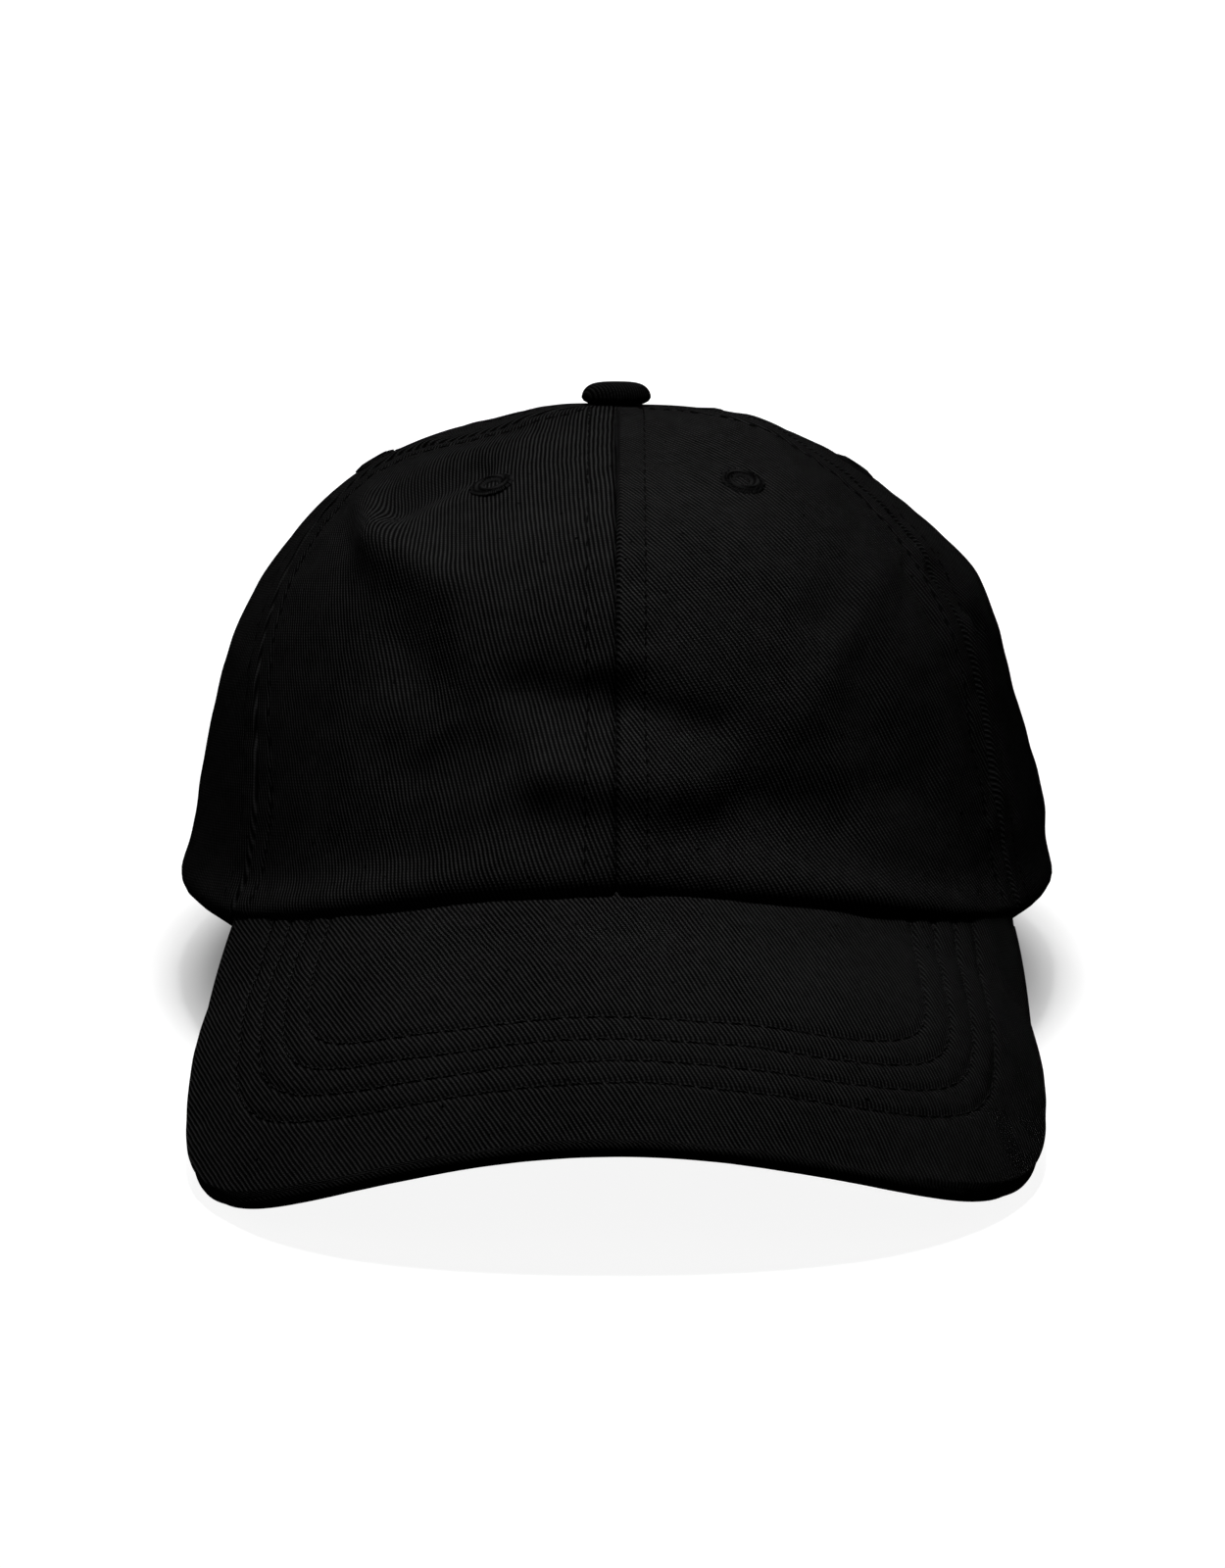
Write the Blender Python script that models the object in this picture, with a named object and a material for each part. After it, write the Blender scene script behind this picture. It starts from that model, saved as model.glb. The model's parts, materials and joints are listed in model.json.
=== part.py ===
"""A six-panel cotton baseball cap with a curved visor and a buckled back strap.

The cap is modelled upright in its own rim frame: the plane z = 0 holds the side and rear hem, the
z axis runs through the middle of the head opening, and the front faces -Y. One parent empty then
leans the whole cap back until it stands on a table, on its visor tips and its rear hem, with the
world origin at the bottom centre of its bounding box. Left and right are the wearer's: left is +X.
"""
import bmesh
import bpy
import numpy as np
from math import atan2, cos, pi, radians, sin, sqrt
from mathutils import Matrix, Vector

# ---- Driving dimensions, in metres and radians ----
CROWN_HALF_WIDTH = 0.094
CROWN_FRONT_LENGTH = 0.106
CROWN_HEIGHT = 0.105
CROWN_LEAN = 0.25
TOP_ROUNDNESS = 5.0
FRONT_HEM_RISE = 0.0105
FRONT_HEM_HALF_ANGLE = radians(72.0)
SEAM_BOW = radians(12.0)
SEAM_BOW_RISE = 6

PANEL_COLUMNS = 10
PANEL_ROWS = 18
PANEL_THICKNESS = 0.0010
CLOTH_GAP = 0.0003
TOP_HOLE_RADIUS = 0.0027

ARCH_HALF_WIDTH = 0.046
ARCH_HEIGHT = 0.052

EYELET_HEIGHT = 0.0920
EYELET_HOLE_RADIUS = 0.0022
CENTRE_HOLE_RADIUS = 0.0022

TAPE_DEPTH = PANEL_THICKNESS + CLOTH_GAP
TAPE_THICKNESS = 0.0006
TAPE_HALF_WIDTH = 0.0065
TAPE_TOP_RADIUS = 0.0140
FACING_WIDTH = 0.009
FACING_START = radians(34)
LEVEL_HEM_HEIGHT = 0.03
LABEL_TURNS = (2.12, 2.42)
LABEL_HEIGHTS = (0.009, 0.027)
LABEL_DEPTH = 0.0057
LABEL_THICKNESS = 0.0004

STRAP_DEPTH = 0.0024
STRAP_THICKNESS = 0.0014
STRAP_LOW = 0.0045
STRAP_HIGH = 0.0245
STRAP_HALF_ANGLE = 0.84

SWEATBAND_DEPTH = 0.0042
SWEATBAND_THICKNESS = 0.0012
SWEATBAND_HEIGHT = 0.034
SWEATBAND_END = 0.0475

VISOR_SEAM_HEIGHT = 0.0162
VISOR_SEAM_FORWARD = 0.102
VISOR_SLOPE = radians(32.5)
VISOR_BEND_RADIUS = 0.110
VISOR_LENGTH = 0.0692
VISOR_HALF_WIDTH = 0.0948
VISOR_WIDEST_ALONG = 0.013
VISOR_CORNER_POWER = 3.25
VISOR_SIDE_TAPER = 0.0098
VISOR_TAPER_LENGTH = 0.046
VISOR_HORN_WIDTH = 0.0015
VISOR_SEAM_GAP = 0.0005
VISOR_CLOTH = 0.0008
VISOR_BOARD = 0.0016
VISOR_COLUMNS = 30

BUCKLE_OFFSET = 0.015
BUCKLE_HALF_LENGTH = 0.008
BUCKLE_HALF_HEIGHT = 0.0122
BUCKLE_WALL = 0.0014
BUCKLE_BACK = (-0.0019, -0.0013)
BUCKLE_WALL_TOP = 0.0040
BAR_ALONG = (0.0064, 0.0080)
BAR_OUT = (0.0021, 0.0033)
PIN_ALONG = -0.0055
PIN_OUT = 0.0026
PIN_RADIUS = 0.0007
PIN_HOLE_RADIUS = 0.0010
KNUCKLE_RADIUS = 0.0016
LEVER_HALF_HEIGHT = 0.0104
LEVER_END = 0.0046
LEVER_PLATE = (0.0027, 0.0036)


# ---- Scene helpers ----
def clear_scene():
    """Remove whatever the scene holds."""
    for item in list(bpy.data.objects):
        bpy.data.objects.remove(item, do_unlink=True)


def make_material(name, colour, roughness, metallic=0.0):
    """A Principled material with one colour."""
    material = bpy.data.materials.new(name)
    material.use_nodes = True
    shader = material.node_tree.nodes["Principled BSDF"]
    shader.inputs["Base Color"].default_value = (*colour, 1.0)
    shader.inputs["Roughness"].default_value = roughness
    shader.inputs["Metallic"].default_value = metallic
    return material


def make_object(name, shape, parent, material, smooth_angle=35.0):
    """Turn a bmesh into a named object with faces out, smooth where it is round."""
    bmesh.ops.recalc_face_normals(shape, faces=shape.faces)
    mesh = bpy.data.meshes.new(name)
    shape.to_mesh(mesh)
    shape.free()
    mesh.shade_smooth()
    mesh.set_sharp_from_angle(angle=radians(smooth_angle))
    item = bpy.data.objects.new(name, mesh)
    bpy.context.scene.collection.objects.link(item)
    item.parent = parent
    item.data.materials.append(material)
    return item


def make_empty(name, parent=None):
    """An empty that others are parented to."""
    empty = bpy.data.objects.new(name, None)
    bpy.context.scene.collection.objects.link(empty)
    empty.parent = parent
    return empty


def slab(outer, inner):
    """Closed solid between two equal grids of points, each a list of rows."""
    shape = bmesh.new()
    top = [[shape.verts.new(point) for point in row] for row in outer]
    base = [[shape.verts.new(point) for point in row] for row in inner]
    last_row = len(top) - 1
    last_column = len(top[0]) - 1
    for row in range(last_row):
        for column in range(last_column):
            for grid in (top, base):
                shape.faces.new((grid[row][column], grid[row][column + 1],
                                 grid[row + 1][column + 1], grid[row + 1][column]))
    for row in range(last_row):
        for column in (0, last_column):
            shape.faces.new((top[row][column], top[row + 1][column],
                             base[row + 1][column], base[row][column]))
    for column in range(last_column):
        for row in (0, last_row):
            shape.faces.new((top[row][column], top[row][column + 1],
                             base[row][column + 1], base[row][column]))
    return shape


def box(low, high):
    """Closed box between two corners."""
    shape = bmesh.new()
    bmesh.ops.create_cube(shape, size=1.0)
    size = Vector(high) - Vector(low)
    middle = (Vector(high) + Vector(low)) / 2
    for vertex in shape.verts:
        vertex.co = Vector(a * b for a, b in zip(vertex.co, size)) + middle
    return shape


def turned(profile, segments=16):
    """Closed solid of revolution about Z from a closed (radius, height) outline."""
    shape = bmesh.new()
    rings = []
    for radius, height in profile:
        if radius == 0.0:
            rings.append([shape.verts.new((0.0, 0.0, height))])
        else:
            rings.append([shape.verts.new((radius * cos(2 * pi * k / segments),
                                           radius * sin(2 * pi * k / segments), height))
                          for k in range(segments)])
    for ring, following in zip(rings, rings[1:] + rings[:1]):
        if len(ring) == 1 and len(following) == 1:
            continue
        for k in range(segments):
            n = (k + 1) % segments
            corners = [ring[k % len(ring)], ring[n % len(ring)],
                       following[n % len(following)], following[k % len(following)]]
            shape.faces.new(list(dict.fromkeys(corners)))
    return shape


def add_boolean(item, cutter, operation="DIFFERENCE"):
    """Cut or join one object with another, which is hidden as a guide."""
    cutter.hide_render = True
    cutter.display_type = "WIRE"
    modifier = item.modifiers.new(cutter.name, "BOOLEAN")
    modifier.operation = operation
    modifier.object = cutter
    modifier.solver = "EXACT"


# ---- Crown surface ----
def crown_scale(height):
    """Plan size of the crown at a height, as a fraction of its size at the hem."""
    rise = height / CROWN_HEIGHT
    return (1 - CROWN_LEAN * rise) * sqrt(max(0.0, 1 - max(0.0, rise) ** TOP_ROUNDNESS))


def crown_reach(turn):
    """Front-to-back half length at the hem: longer in front than behind."""
    return CROWN_FRONT_LENGTH if cos(turn) > 0 else CROWN_HALF_WIDTH


def crown_face(turn, height):
    """Point on the crown's outer face; turn is 0 at the front seam and grows towards +X."""
    scale = crown_scale(height)
    return Vector((CROWN_HALF_WIDTH * scale * sin(turn),
                   -crown_reach(turn) * scale * cos(turn), height))


def crown_normal(turn, height):
    """Outward normal of the crown's outer face."""
    turn_step = 1e-3
    height_step = 1e-5
    low = min(height, CROWN_HEIGHT * 0.9999) - height_step
    along = crown_face(turn + turn_step, low) - crown_face(turn - turn_step, low)
    upward = crown_face(turn, low + height_step) - crown_face(turn, low - height_step)
    return along.cross(upward).normalized()


def crown_point(turn, height, depth, level=1.0):
    """Point at a depth under the outer face; level 1 keeps the height that was asked for."""
    normal = crown_normal(turn, height)
    start = height + level * depth * normal.z
    return crown_face(turn, start) - normal * depth


def panel_point(turn, height, depth):
    """As crown_point, level at the hem and square to the surface from 30 mm up."""
    return crown_point(turn, height, depth, level=max(0.0, 1 - height / LEVEL_HEM_HEIGHT))


PROFILE_HEIGHTS = CROWN_HEIGHT * (1 - np.linspace(1.0, 0.0, 600) ** 2.5)
PROFILE_RADII = np.array([CROWN_HALF_WIDTH * crown_scale(h) for h in PROFILE_HEIGHTS])
PROFILE_LENGTHS = np.concatenate(
    ([0.0], np.cumsum(np.hypot(np.diff(PROFILE_HEIGHTS), np.diff(PROFILE_RADII)))))


def spread_heights(low, high, count):
    """Heights that divide the side profile between two heights into equal lengths."""
    start, end = np.interp((low, high), PROFILE_HEIGHTS, PROFILE_LENGTHS)
    return np.interp(np.linspace(start, end, count + 1), PROFILE_LENGTHS, PROFILE_HEIGHTS)


def height_at_radius(radius):
    """Height where the side profile has come in to a radius."""
    return float(np.interp(-radius, -PROFILE_RADII, PROFILE_HEIGHTS))


def crown_over(x, y, depth):
    """Point at a depth under the crown, straight below a place in plan."""
    reach = CROWN_FRONT_LENGTH if y < 0 else CROWN_HALF_WIDTH
    height = height_at_radius(CROWN_HALF_WIDTH * sqrt((x / CROWN_HALF_WIDTH) ** 2 + (y / reach) ** 2))
    return panel_point(atan2(x / CROWN_HALF_WIDTH, -y / reach), height, depth)


def hem_height(turn):
    """Height of the crown's hem: arched up over the visor, level elsewhere."""
    turn = abs((turn + pi) % (2 * pi) - pi)
    if turn > FRONT_HEM_HALF_ANGLE:
        return 0.0
    return FRONT_HEM_RISE * cos(turn / FRONT_HEM_HALF_ANGLE * pi / 2) ** 2


def arch_height(turn):
    """Height of the back opening's edge above the hem, 0 where the hem is closed."""
    across = CROWN_HALF_WIDTH * abs((turn % (2 * pi)) - pi) / ARCH_HALF_WIDTH
    return ARCH_HEIGHT * sqrt(max(0.0, 1 - across * across))


def bowed(turn, height):
    """Turn at a height, with the two seams beside the front panels bowed back near the top."""
    rise = max(height, 0.0) / CROWN_HEIGHT
    crest = SEAM_BOW_RISE / (SEAM_BOW_RISE + 1)
    shape = rise ** SEAM_BOW_RISE * (1 - rise) / (crest ** SEAM_BOW_RISE * (1 - crest))
    bow = SEAM_BOW * max(0.0, shape)
    third = pi / 3
    size = abs(turn)
    if size <= third:
        size *= (third + bow) / third
    elif size < 2 * third:
        size = third + bow + (size - third) * (third - bow) / third
    return size if turn >= 0 else -size


# ---- Crown pieces ----
def panel_turns(first, last):
    """Column positions of one panel; a back panel adds columns round its arch."""
    turns = list(np.linspace(first, last, PANEL_COLUMNS + 1))
    corner = ARCH_HALF_WIDTH / CROWN_HALF_WIDTH
    if min(abs(first), abs(last)) > pi / 2:
        side = 1 if first > 0 else -1
        turns = [side * (pi - corner * cos(a)) for a in np.linspace(0.0, pi / 2, 9)]
        turns += list(np.linspace(side * (pi - corner), side * 2 * pi / 3, 7)[1:])
        turns.sort()
    return turns


def make_panel(name, first, last, cap, material):
    """One crown panel, 0.3 mm clear of its neighbours, from the hem to the hole at the top."""
    top = height_at_radius(TOP_HOLE_RADIUS)
    columns = panel_turns(first, last)
    heights = [spread_heights(max(hem_height(t), arch_height(t)), top, PANEL_ROWS)
               for t in columns]
    grids = []
    for depth in (0.0, PANEL_THICKNESS):
        rows = []
        for row in range(PANEL_ROWS + 1):
            points = []
            for turn, column in zip(columns, heights):
                radius = CROWN_HALF_WIDTH * crown_scale(column[row])
                inset = (CLOTH_GAP / 2) / radius
                turn = min(max(turn, first + inset), last - inset)
                points.append(panel_point(bowed(turn, column[row]), column[row], depth))
            rows.append(points)
        grids.append(rows)
    return make_object(name, slab(*grids), cap, material)


def make_eyelet(name, turn, panel, cap, material):
    """Thread-covered ring through a panel, and the hole that it lines."""
    outward = crown_normal(turn, EYELET_HEIGHT)
    place = Matrix.Translation(crown_face(turn, EYELET_HEIGHT))
    place = place @ outward.to_track_quat("Z", "Y").to_matrix().to_4x4()
    profile = [(0.0015, -0.0020), (0.0015, 0.0010), (0.0022, 0.0013), (0.0035, 0.0012),
               (0.0045, 0.0009), (0.0048, 0.0003), (0.0019, 0.0003), (0.0019, -0.0015),
               (0.0040, -0.0015), (0.0040, -0.0021)]
    ring = make_object(name, turned(profile), cap, material)
    ring.matrix_local = place
    cutter = bmesh.new()
    bmesh.ops.create_cone(cutter, cap_ends=True, segments=16, radius1=EYELET_HOLE_RADIUS,
                          radius2=EYELET_HOLE_RADIUS, depth=0.008)
    hole = make_object(name + "_hole", cutter, cap, material)
    hole.matrix_local = place
    add_boolean(panel, hole)


def make_side_tape(name, turn, cap, material):
    """Tape over one side seam inside, from just above the hem to near the top."""
    rows = []
    top = height_at_radius(TAPE_TOP_RADIUS)
    low = hem_height(turn) + 0.002
    for depth in (TAPE_DEPTH, TAPE_DEPTH + TAPE_THICKNESS):
        grid = []
        for height in spread_heights(low, top, 14):
            half = TAPE_HALF_WIDTH / (CROWN_HALF_WIDTH * crown_scale(height))
            seam = bowed(turn, height)
            grid.append([panel_point(seam + side * half, height, depth) for side in (-1, 0, 1)])
        rows.append(grid)
    return make_object(name, slab(*rows), cap, material)


def make_centre_tape(cap, material):
    """Tape over the centre seam inside, from the front hem over the top to the back opening."""
    front_run = [crown_face(0.0, h).y for h in
                 spread_heights(hem_height(0.0) + 0.002, CROWN_HEIGHT * 0.99, 13)]
    rear_run = [crown_face(pi, h).y for h in
                spread_heights(ARCH_HEIGHT + FACING_WIDTH + 0.001, CROWN_HEIGHT * 0.99, 8)]
    places = front_run + [0.0] + rear_run[::-1]
    grids = []
    for depth in (TAPE_DEPTH, TAPE_DEPTH + TAPE_THICKNESS):
        grids.append([[crown_over(x, y, depth) for x in (-TAPE_HALF_WIDTH, 0.0, TAPE_HALF_WIDTH)]
                      for y in places])
    tape = make_object("centre_seam_tape", slab(*grids), cap, material)
    cutter = bmesh.new()
    bmesh.ops.create_cone(cutter, cap_ends=True, segments=16, radius1=CENTRE_HOLE_RADIUS,
                          radius2=CENTRE_HOLE_RADIUS, depth=0.010)
    hole = make_object("centre_tape_hole", cutter, cap, material)
    hole.location = (0.0, 0.0, CROWN_HEIGHT)
    add_boolean(tape, hole)


def make_arch_facing(cap, material):
    """Curved facing tape inside the back opening's edge, above the strap."""
    grids = []
    for depth in (TAPE_DEPTH, TAPE_DEPTH + TAPE_THICKNESS):
        rows = []
        for offset in (0.0006, FACING_WIDTH / 2, FACING_WIDTH):
            rows.append([crown_point(pi - (ARCH_HALF_WIDTH + offset) * cos(a) / CROWN_HALF_WIDTH,
                                     (ARCH_HEIGHT + offset) * sin(a), depth, 0.0)
                         for a in np.linspace(FACING_START, pi - FACING_START, 21)])
        grids.append(rows)
    make_object("arch_facing", slab(*grids), cap, material)


def make_sweatband(cap, material):
    """Folded cotton band round the head opening, from one side of the back arch to the other."""
    end = pi - SWEATBAND_END / CROWN_HALF_WIDTH
    grids = []
    for depth in (SWEATBAND_DEPTH, SWEATBAND_DEPTH + SWEATBAND_THICKNESS):
        rows = []
        for share in (0.0, 0.5, 1.0):
            rows.append([crown_point(turn, hem_height(turn) + 0.0006 + share * SWEATBAND_HEIGHT, depth)
                         for turn in np.linspace(-end, end, 57)])
        grids.append(rows)
    make_object("sweatband", slab(*grids), cap, material)


def make_label(cap, material):
    """Blank woven label sewn flat on the sweatband at the wearer's left."""
    grids = []
    for depth in (LABEL_DEPTH, LABEL_DEPTH + LABEL_THICKNESS):
        grids.append([[crown_point(turn, height, depth) for turn in np.linspace(*LABEL_TURNS, 5)]
                      for height in np.linspace(*LABEL_HEIGHTS, 3)])
    make_object("blank_label", slab(*grids), cap, material)


# ---- Button on top ----
def make_button(cap, cloth, metal):
    """Cloth-covered cap button: shell, metal core with its rivet post, and the washer inside."""
    shell = [(0.0062, 0.0004), (0.0066, 0.0010), (0.0066, 0.0020), (0.0061, 0.0032),
             (0.0047, 0.0042), (0.0026, 0.0047), (0.0, 0.0049), (0.0, 0.0043), (0.0025, 0.0041),
             (0.0044, 0.0036), (0.0056, 0.0028), (0.0060, 0.0018), (0.0058, 0.0006)]
    core = [(0.0054, 0.0006), (0.0054, 0.0018), (0.0040, 0.0030), (0.0, 0.0034),
            (0.0, -0.0036), (0.0016, -0.0036), (0.0016, 0.0006)]
    washer = [(0.0020, -0.0030), (0.0055, -0.0029), (0.0055, -0.0023), (0.0020, -0.0023)]
    for name, profile, material in (("button_cover", shell, cloth), ("button_core", core, metal),
                                    ("button_washer", washer, metal)):
        piece = make_object(name, turned(profile), cap, material)
        piece.location = (0.0, 0.0, CROWN_HEIGHT)


# ---- Visor ----
def visor_point(across, along, depth):
    """Point in the visor: arc length from its centre line, distance forward, depth under its top."""
    bend = across / VISOR_BEND_RADIUS
    radius = VISOR_BEND_RADIUS - depth
    drop = VISOR_BEND_RADIUS - radius * cos(bend)
    seam = Vector((0.0, -VISOR_SEAM_FORWARD, VISOR_SEAM_HEIGHT))
    forward = Vector((0.0, -cos(VISOR_SLOPE), -sin(VISOR_SLOPE)))
    upward = Vector((0.0, -sin(VISOR_SLOPE), cos(VISOR_SLOPE)))
    return seam + forward * along - upward * drop + Vector((radius * sin(bend), 0.0, 0.0))


def seam_along(across, depth):
    """How far forward the visor's layer at a depth meets the crown's outer face."""
    behind, ahead = -0.07, 0.02
    for _ in range(30):
        middle = (behind + ahead) / 2
        x, y, z = visor_point(across, middle, depth)
        clear = 1 + VISOR_SEAM_GAP / CROWN_HALF_WIDTH
        outside = sqrt((x / CROWN_HALF_WIDTH) ** 2 + (y / CROWN_FRONT_LENGTH) ** 2)
        inside = y > 0 or outside < crown_scale(max(z, 0.0)) * clear
        if inside:
            behind = middle
        else:
            ahead = middle
    return ahead


def side_across(along, inset):
    """Half width of the visor behind its widest place."""
    back = (VISOR_WIDEST_ALONG - along) / VISOR_TAPER_LENGTH
    return VISOR_HALF_WIDTH - inset - VISOR_SIDE_TAPER * back * back


def horn_along(depth, inset):
    """Where the visor's side edge has come back to a narrow horn at the crown."""
    behind, ahead = -0.05, VISOR_WIDEST_ALONG
    for _ in range(30):
        middle = (behind + ahead) / 2
        if middle - seam_along(side_across(middle, inset), depth) > VISOR_HORN_WIDTH:
            ahead = middle
        else:
            behind = middle
    return ahead


def evenly(points, count):
    """Points at equal spacing along an outline."""
    points = np.array(points)
    lengths = np.concatenate(([0.0], np.cumsum(np.hypot(*np.diff(points, axis=0).T))))
    wanted = np.linspace(0.0, lengths[-1], count + 1)
    return np.column_stack([np.interp(wanted, lengths, points[:, i]) for i in (0, 1)])


def visor_outline(depth, inset):
    """Outer edge from the right horn round the front to the left horn, in flat coordinates."""
    horn = horn_along(depth, inset)
    side = [(side_across(a, inset), a) for a in np.linspace(horn, VISOR_WIDEST_ALONG, 20)]
    width = VISOR_HALF_WIDTH - inset
    length = VISOR_LENGTH - inset - VISOR_WIDEST_ALONG
    power = 2 / VISOR_CORNER_POWER
    front = [(width * cos(a) ** power, VISOR_WIDEST_ALONG + length * sin(a) ** power)
             for a in np.linspace(0.0, pi / 2, 60)[1:-1]]
    half = side + front
    mirrored = [(-across, along) for across, along in reversed(half)]
    return evenly(half + [(0.0, VISOR_WIDEST_ALONG + length)] + mirrored, VISOR_COLUMNS)


def visor_grid(depth, inset, rows):
    """Grid over one layer of the visor, from the crown seam to the outer edge."""
    outer = visor_outline(depth, inset)
    reach = outer[0][0]
    seam = [(a, seam_along(a, depth)) for a in np.linspace(reach, -reach, 61)]
    inner = evenly(seam, VISOR_COLUMNS)
    grid = []
    for share in np.linspace(0.0, 1.0, rows + 1):
        flat = inner + (outer - inner) * share
        grid.append([visor_point(across, along, depth) for across, along in flat])
    return grid


def make_visor(cap, cloth, board):
    """Visor: stiff board between a top cover, whose edge turns down round it, and an under cover."""
    board_top = VISOR_CLOTH + CLOTH_GAP
    board_base = board_top + VISOR_BOARD
    under_top = board_base + CLOTH_GAP
    under_base = under_top + VISOR_CLOTH
    top = visor_grid(0.0, 0.0, 6) + visor_grid(board_base, 0.0, 6)[-1:]
    lining = visor_grid(VISOR_CLOTH, VISOR_CLOTH, 6) + visor_grid(board_base, VISOR_CLOTH, 6)[-1:]
    make_object("visor_top_cover", slab(top, lining), cap, cloth)
    inset = VISOR_CLOTH + CLOTH_GAP
    make_object("visor_board", slab(visor_grid(board_top, inset, 6), visor_grid(board_base, inset, 6)),
                cap, board)
    make_object("visor_under_cover", slab(visor_grid(under_top, 0.0, 6), visor_grid(under_base, 0.0, 6)),
                cap, cloth)


# ---- Back closure ----
STRAP_MIDDLE_DEPTH = STRAP_DEPTH + STRAP_THICKNESS / 2
STRAP_MIDDLE_HEIGHT = (STRAP_LOW + STRAP_HIGH) / 2
STRAP_RADIUS = crown_point(pi, STRAP_MIDDLE_HEIGHT, STRAP_MIDDLE_DEPTH).y


def make_strap(cap, material):
    """Back strap, an arc about the rim axis, with both ends in their pockets."""
    grids = []
    for depth in (STRAP_DEPTH, STRAP_DEPTH + STRAP_THICKNESS):
        grids.append([[crown_point(pi + a, height, depth)
                       for a in np.linspace(-STRAP_HALF_ANGLE, STRAP_HALF_ANGLE, 37)]
                      for height in (STRAP_LOW, STRAP_MIDDLE_HEIGHT, STRAP_HIGH)])
    make_object("back_strap", slab(*grids), cap, material)


def tab_path():
    """Middle line of the tab's cloth: (distance from the buckle, depth), round the buckle's bar."""
    bar_along = sum(BAR_ALONG) / 2
    bar_depth = STRAP_MIDDLE_DEPTH - sum(BAR_OUT) / 2 - bar_along ** 2 / (2 * STRAP_RADIUS)
    inner_depth = TAPE_DEPTH + VISOR_CLOTH / 2
    outer_depth = bar_depth - (inner_depth - bar_depth)
    turn_radius = (inner_depth - outer_depth) / 2
    path = [(0.047, inner_depth), (0.040, inner_depth), (0.033, inner_depth), (0.026, inner_depth),
            (0.020, inner_depth), (0.014, inner_depth), (bar_along, inner_depth)]
    path += [(bar_along - turn_radius * sin(a), bar_depth + turn_radius * cos(a))
             for a in np.radians((30, 60, 90, 120, 150))]
    close_depth = inner_depth - VISOR_CLOTH - CLOTH_GAP
    path += [(bar_along, outer_depth), (0.010, outer_depth + 0.0002), (0.014, close_depth),
             (0.020, close_depth)]
    return path


def tab_point(place, height):
    """Point of the tab at (distance from the buckle, depth), measured along the cloth at its height."""
    radius = crown_point(pi, height, STRAP_MIDDLE_DEPTH).y
    return crown_point(pi + BUCKLE_OFFSET / STRAP_RADIUS + place.x / radius, height, place.y)


def make_tab(cap, material):
    """Short tab of folded cloth that holds the buckle by its bar."""
    path = [Vector(point) for point in tab_path()]
    grids = ([], [])
    for index, point in enumerate(path):
        before = path[max(index - 1, 0)]
        after = path[min(index + 1, len(path) - 1)]
        direction = (after - before).normalized()
        sideways = Vector((direction.y, -direction.x)) * VISOR_CLOTH / 2
        for grid, place in zip(grids, (point + sideways, point - sideways)):
            grid.append([tab_point(place, height) for height in
                         (STRAP_LOW + 0.0005, STRAP_MIDDLE_HEIGHT, STRAP_HIGH - 0.0005)])
    make_object("buckle_tab", slab(*grids), cap, material)


def buckle_frame_of_reference(cap):
    """Empty in the middle of the strap at the buckle: X along the strap, Y up, Z out."""
    turn = pi + BUCKLE_OFFSET / STRAP_RADIUS
    outward = crown_normal(turn, STRAP_MIDDLE_HEIGHT)
    along = Vector((cos(turn), sin(turn), 0.0))
    upward = outward.cross(along)
    place = make_empty("buckle_place", cap)
    turned_axes = Matrix((along, upward, outward)).transposed().to_4x4()
    middle = crown_point(turn, STRAP_MIDDLE_HEIGHT, STRAP_MIDDLE_DEPTH)
    place.matrix_local = Matrix.Translation(middle) @ turned_axes
    return place


def upright_rod(radius, half_height, segments=16):
    """Rod along Y."""
    shape = bmesh.new()
    bmesh.ops.create_cone(shape, cap_ends=True, segments=segments, radius1=radius, radius2=radius,
                          depth=2 * half_height, matrix=Matrix.Rotation(radians(90), 4, "X"))
    return shape


def make_buckle(cap, metal):
    """Clamp buckle: channel frame with a bar for the tab, hinged lever and its pin."""
    place = buckle_frame_of_reference(cap)
    length, height = BUCKLE_HALF_LENGTH, BUCKLE_HALF_HEIGHT
    inner = height - BUCKLE_WALL
    frame = make_object("buckle_frame", box((-length, -height, BUCKLE_BACK[0]),
                                            (length, height, BUCKLE_WALL_TOP)), place, metal)
    channel = make_object("frame_channel", box((-2 * length, -inner, BUCKLE_BACK[1]),
                                               (2 * length, inner, 0.02)), place, metal)
    bar = make_object("frame_bar", box((BAR_ALONG[0], -height + 0.0005, BAR_OUT[0]),
                                       (BAR_ALONG[1] - 0.0002, height - 0.0005, BAR_OUT[1])), place, metal)
    step = make_object("frame_step", box((-0.003, -2 * height, BAR_OUT[1] + 0.0002),
                                         (2 * length, 2 * height, 0.02)), place, metal)
    bore = make_object("frame_bore", upright_rod(PIN_HOLE_RADIUS, 2 * height), place, metal)
    bore.location = (PIN_ALONG, 0.0, PIN_OUT)
    add_boolean(frame, channel)
    add_boolean(frame, step)
    add_boolean(frame, bar, "UNION")
    add_boolean(frame, bore)

    pin = make_object("buckle_pin", upright_rod(PIN_RADIUS, height + 0.0004), place, metal)
    pin.location = (PIN_ALONG, 0.0, PIN_OUT)

    lever = make_object("buckle_lever", upright_rod(KNUCKLE_RADIUS, LEVER_HALF_HEIGHT, 20), place, metal)
    lever.location = (PIN_ALONG, 0.0, PIN_OUT)
    plate = make_object("lever_plate", box((0.0, -LEVER_HALF_HEIGHT, LEVER_PLATE[0] - PIN_OUT),
                                           (LEVER_END - PIN_ALONG, LEVER_HALF_HEIGHT,
                                            LEVER_PLATE[1] - PIN_OUT)), lever, metal)
    eye = make_object("lever_eye", upright_rod(PIN_HOLE_RADIUS, 2 * LEVER_HALF_HEIGHT), lever, metal)
    add_boolean(lever, plate, "UNION")
    add_boolean(lever, eye)


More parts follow.
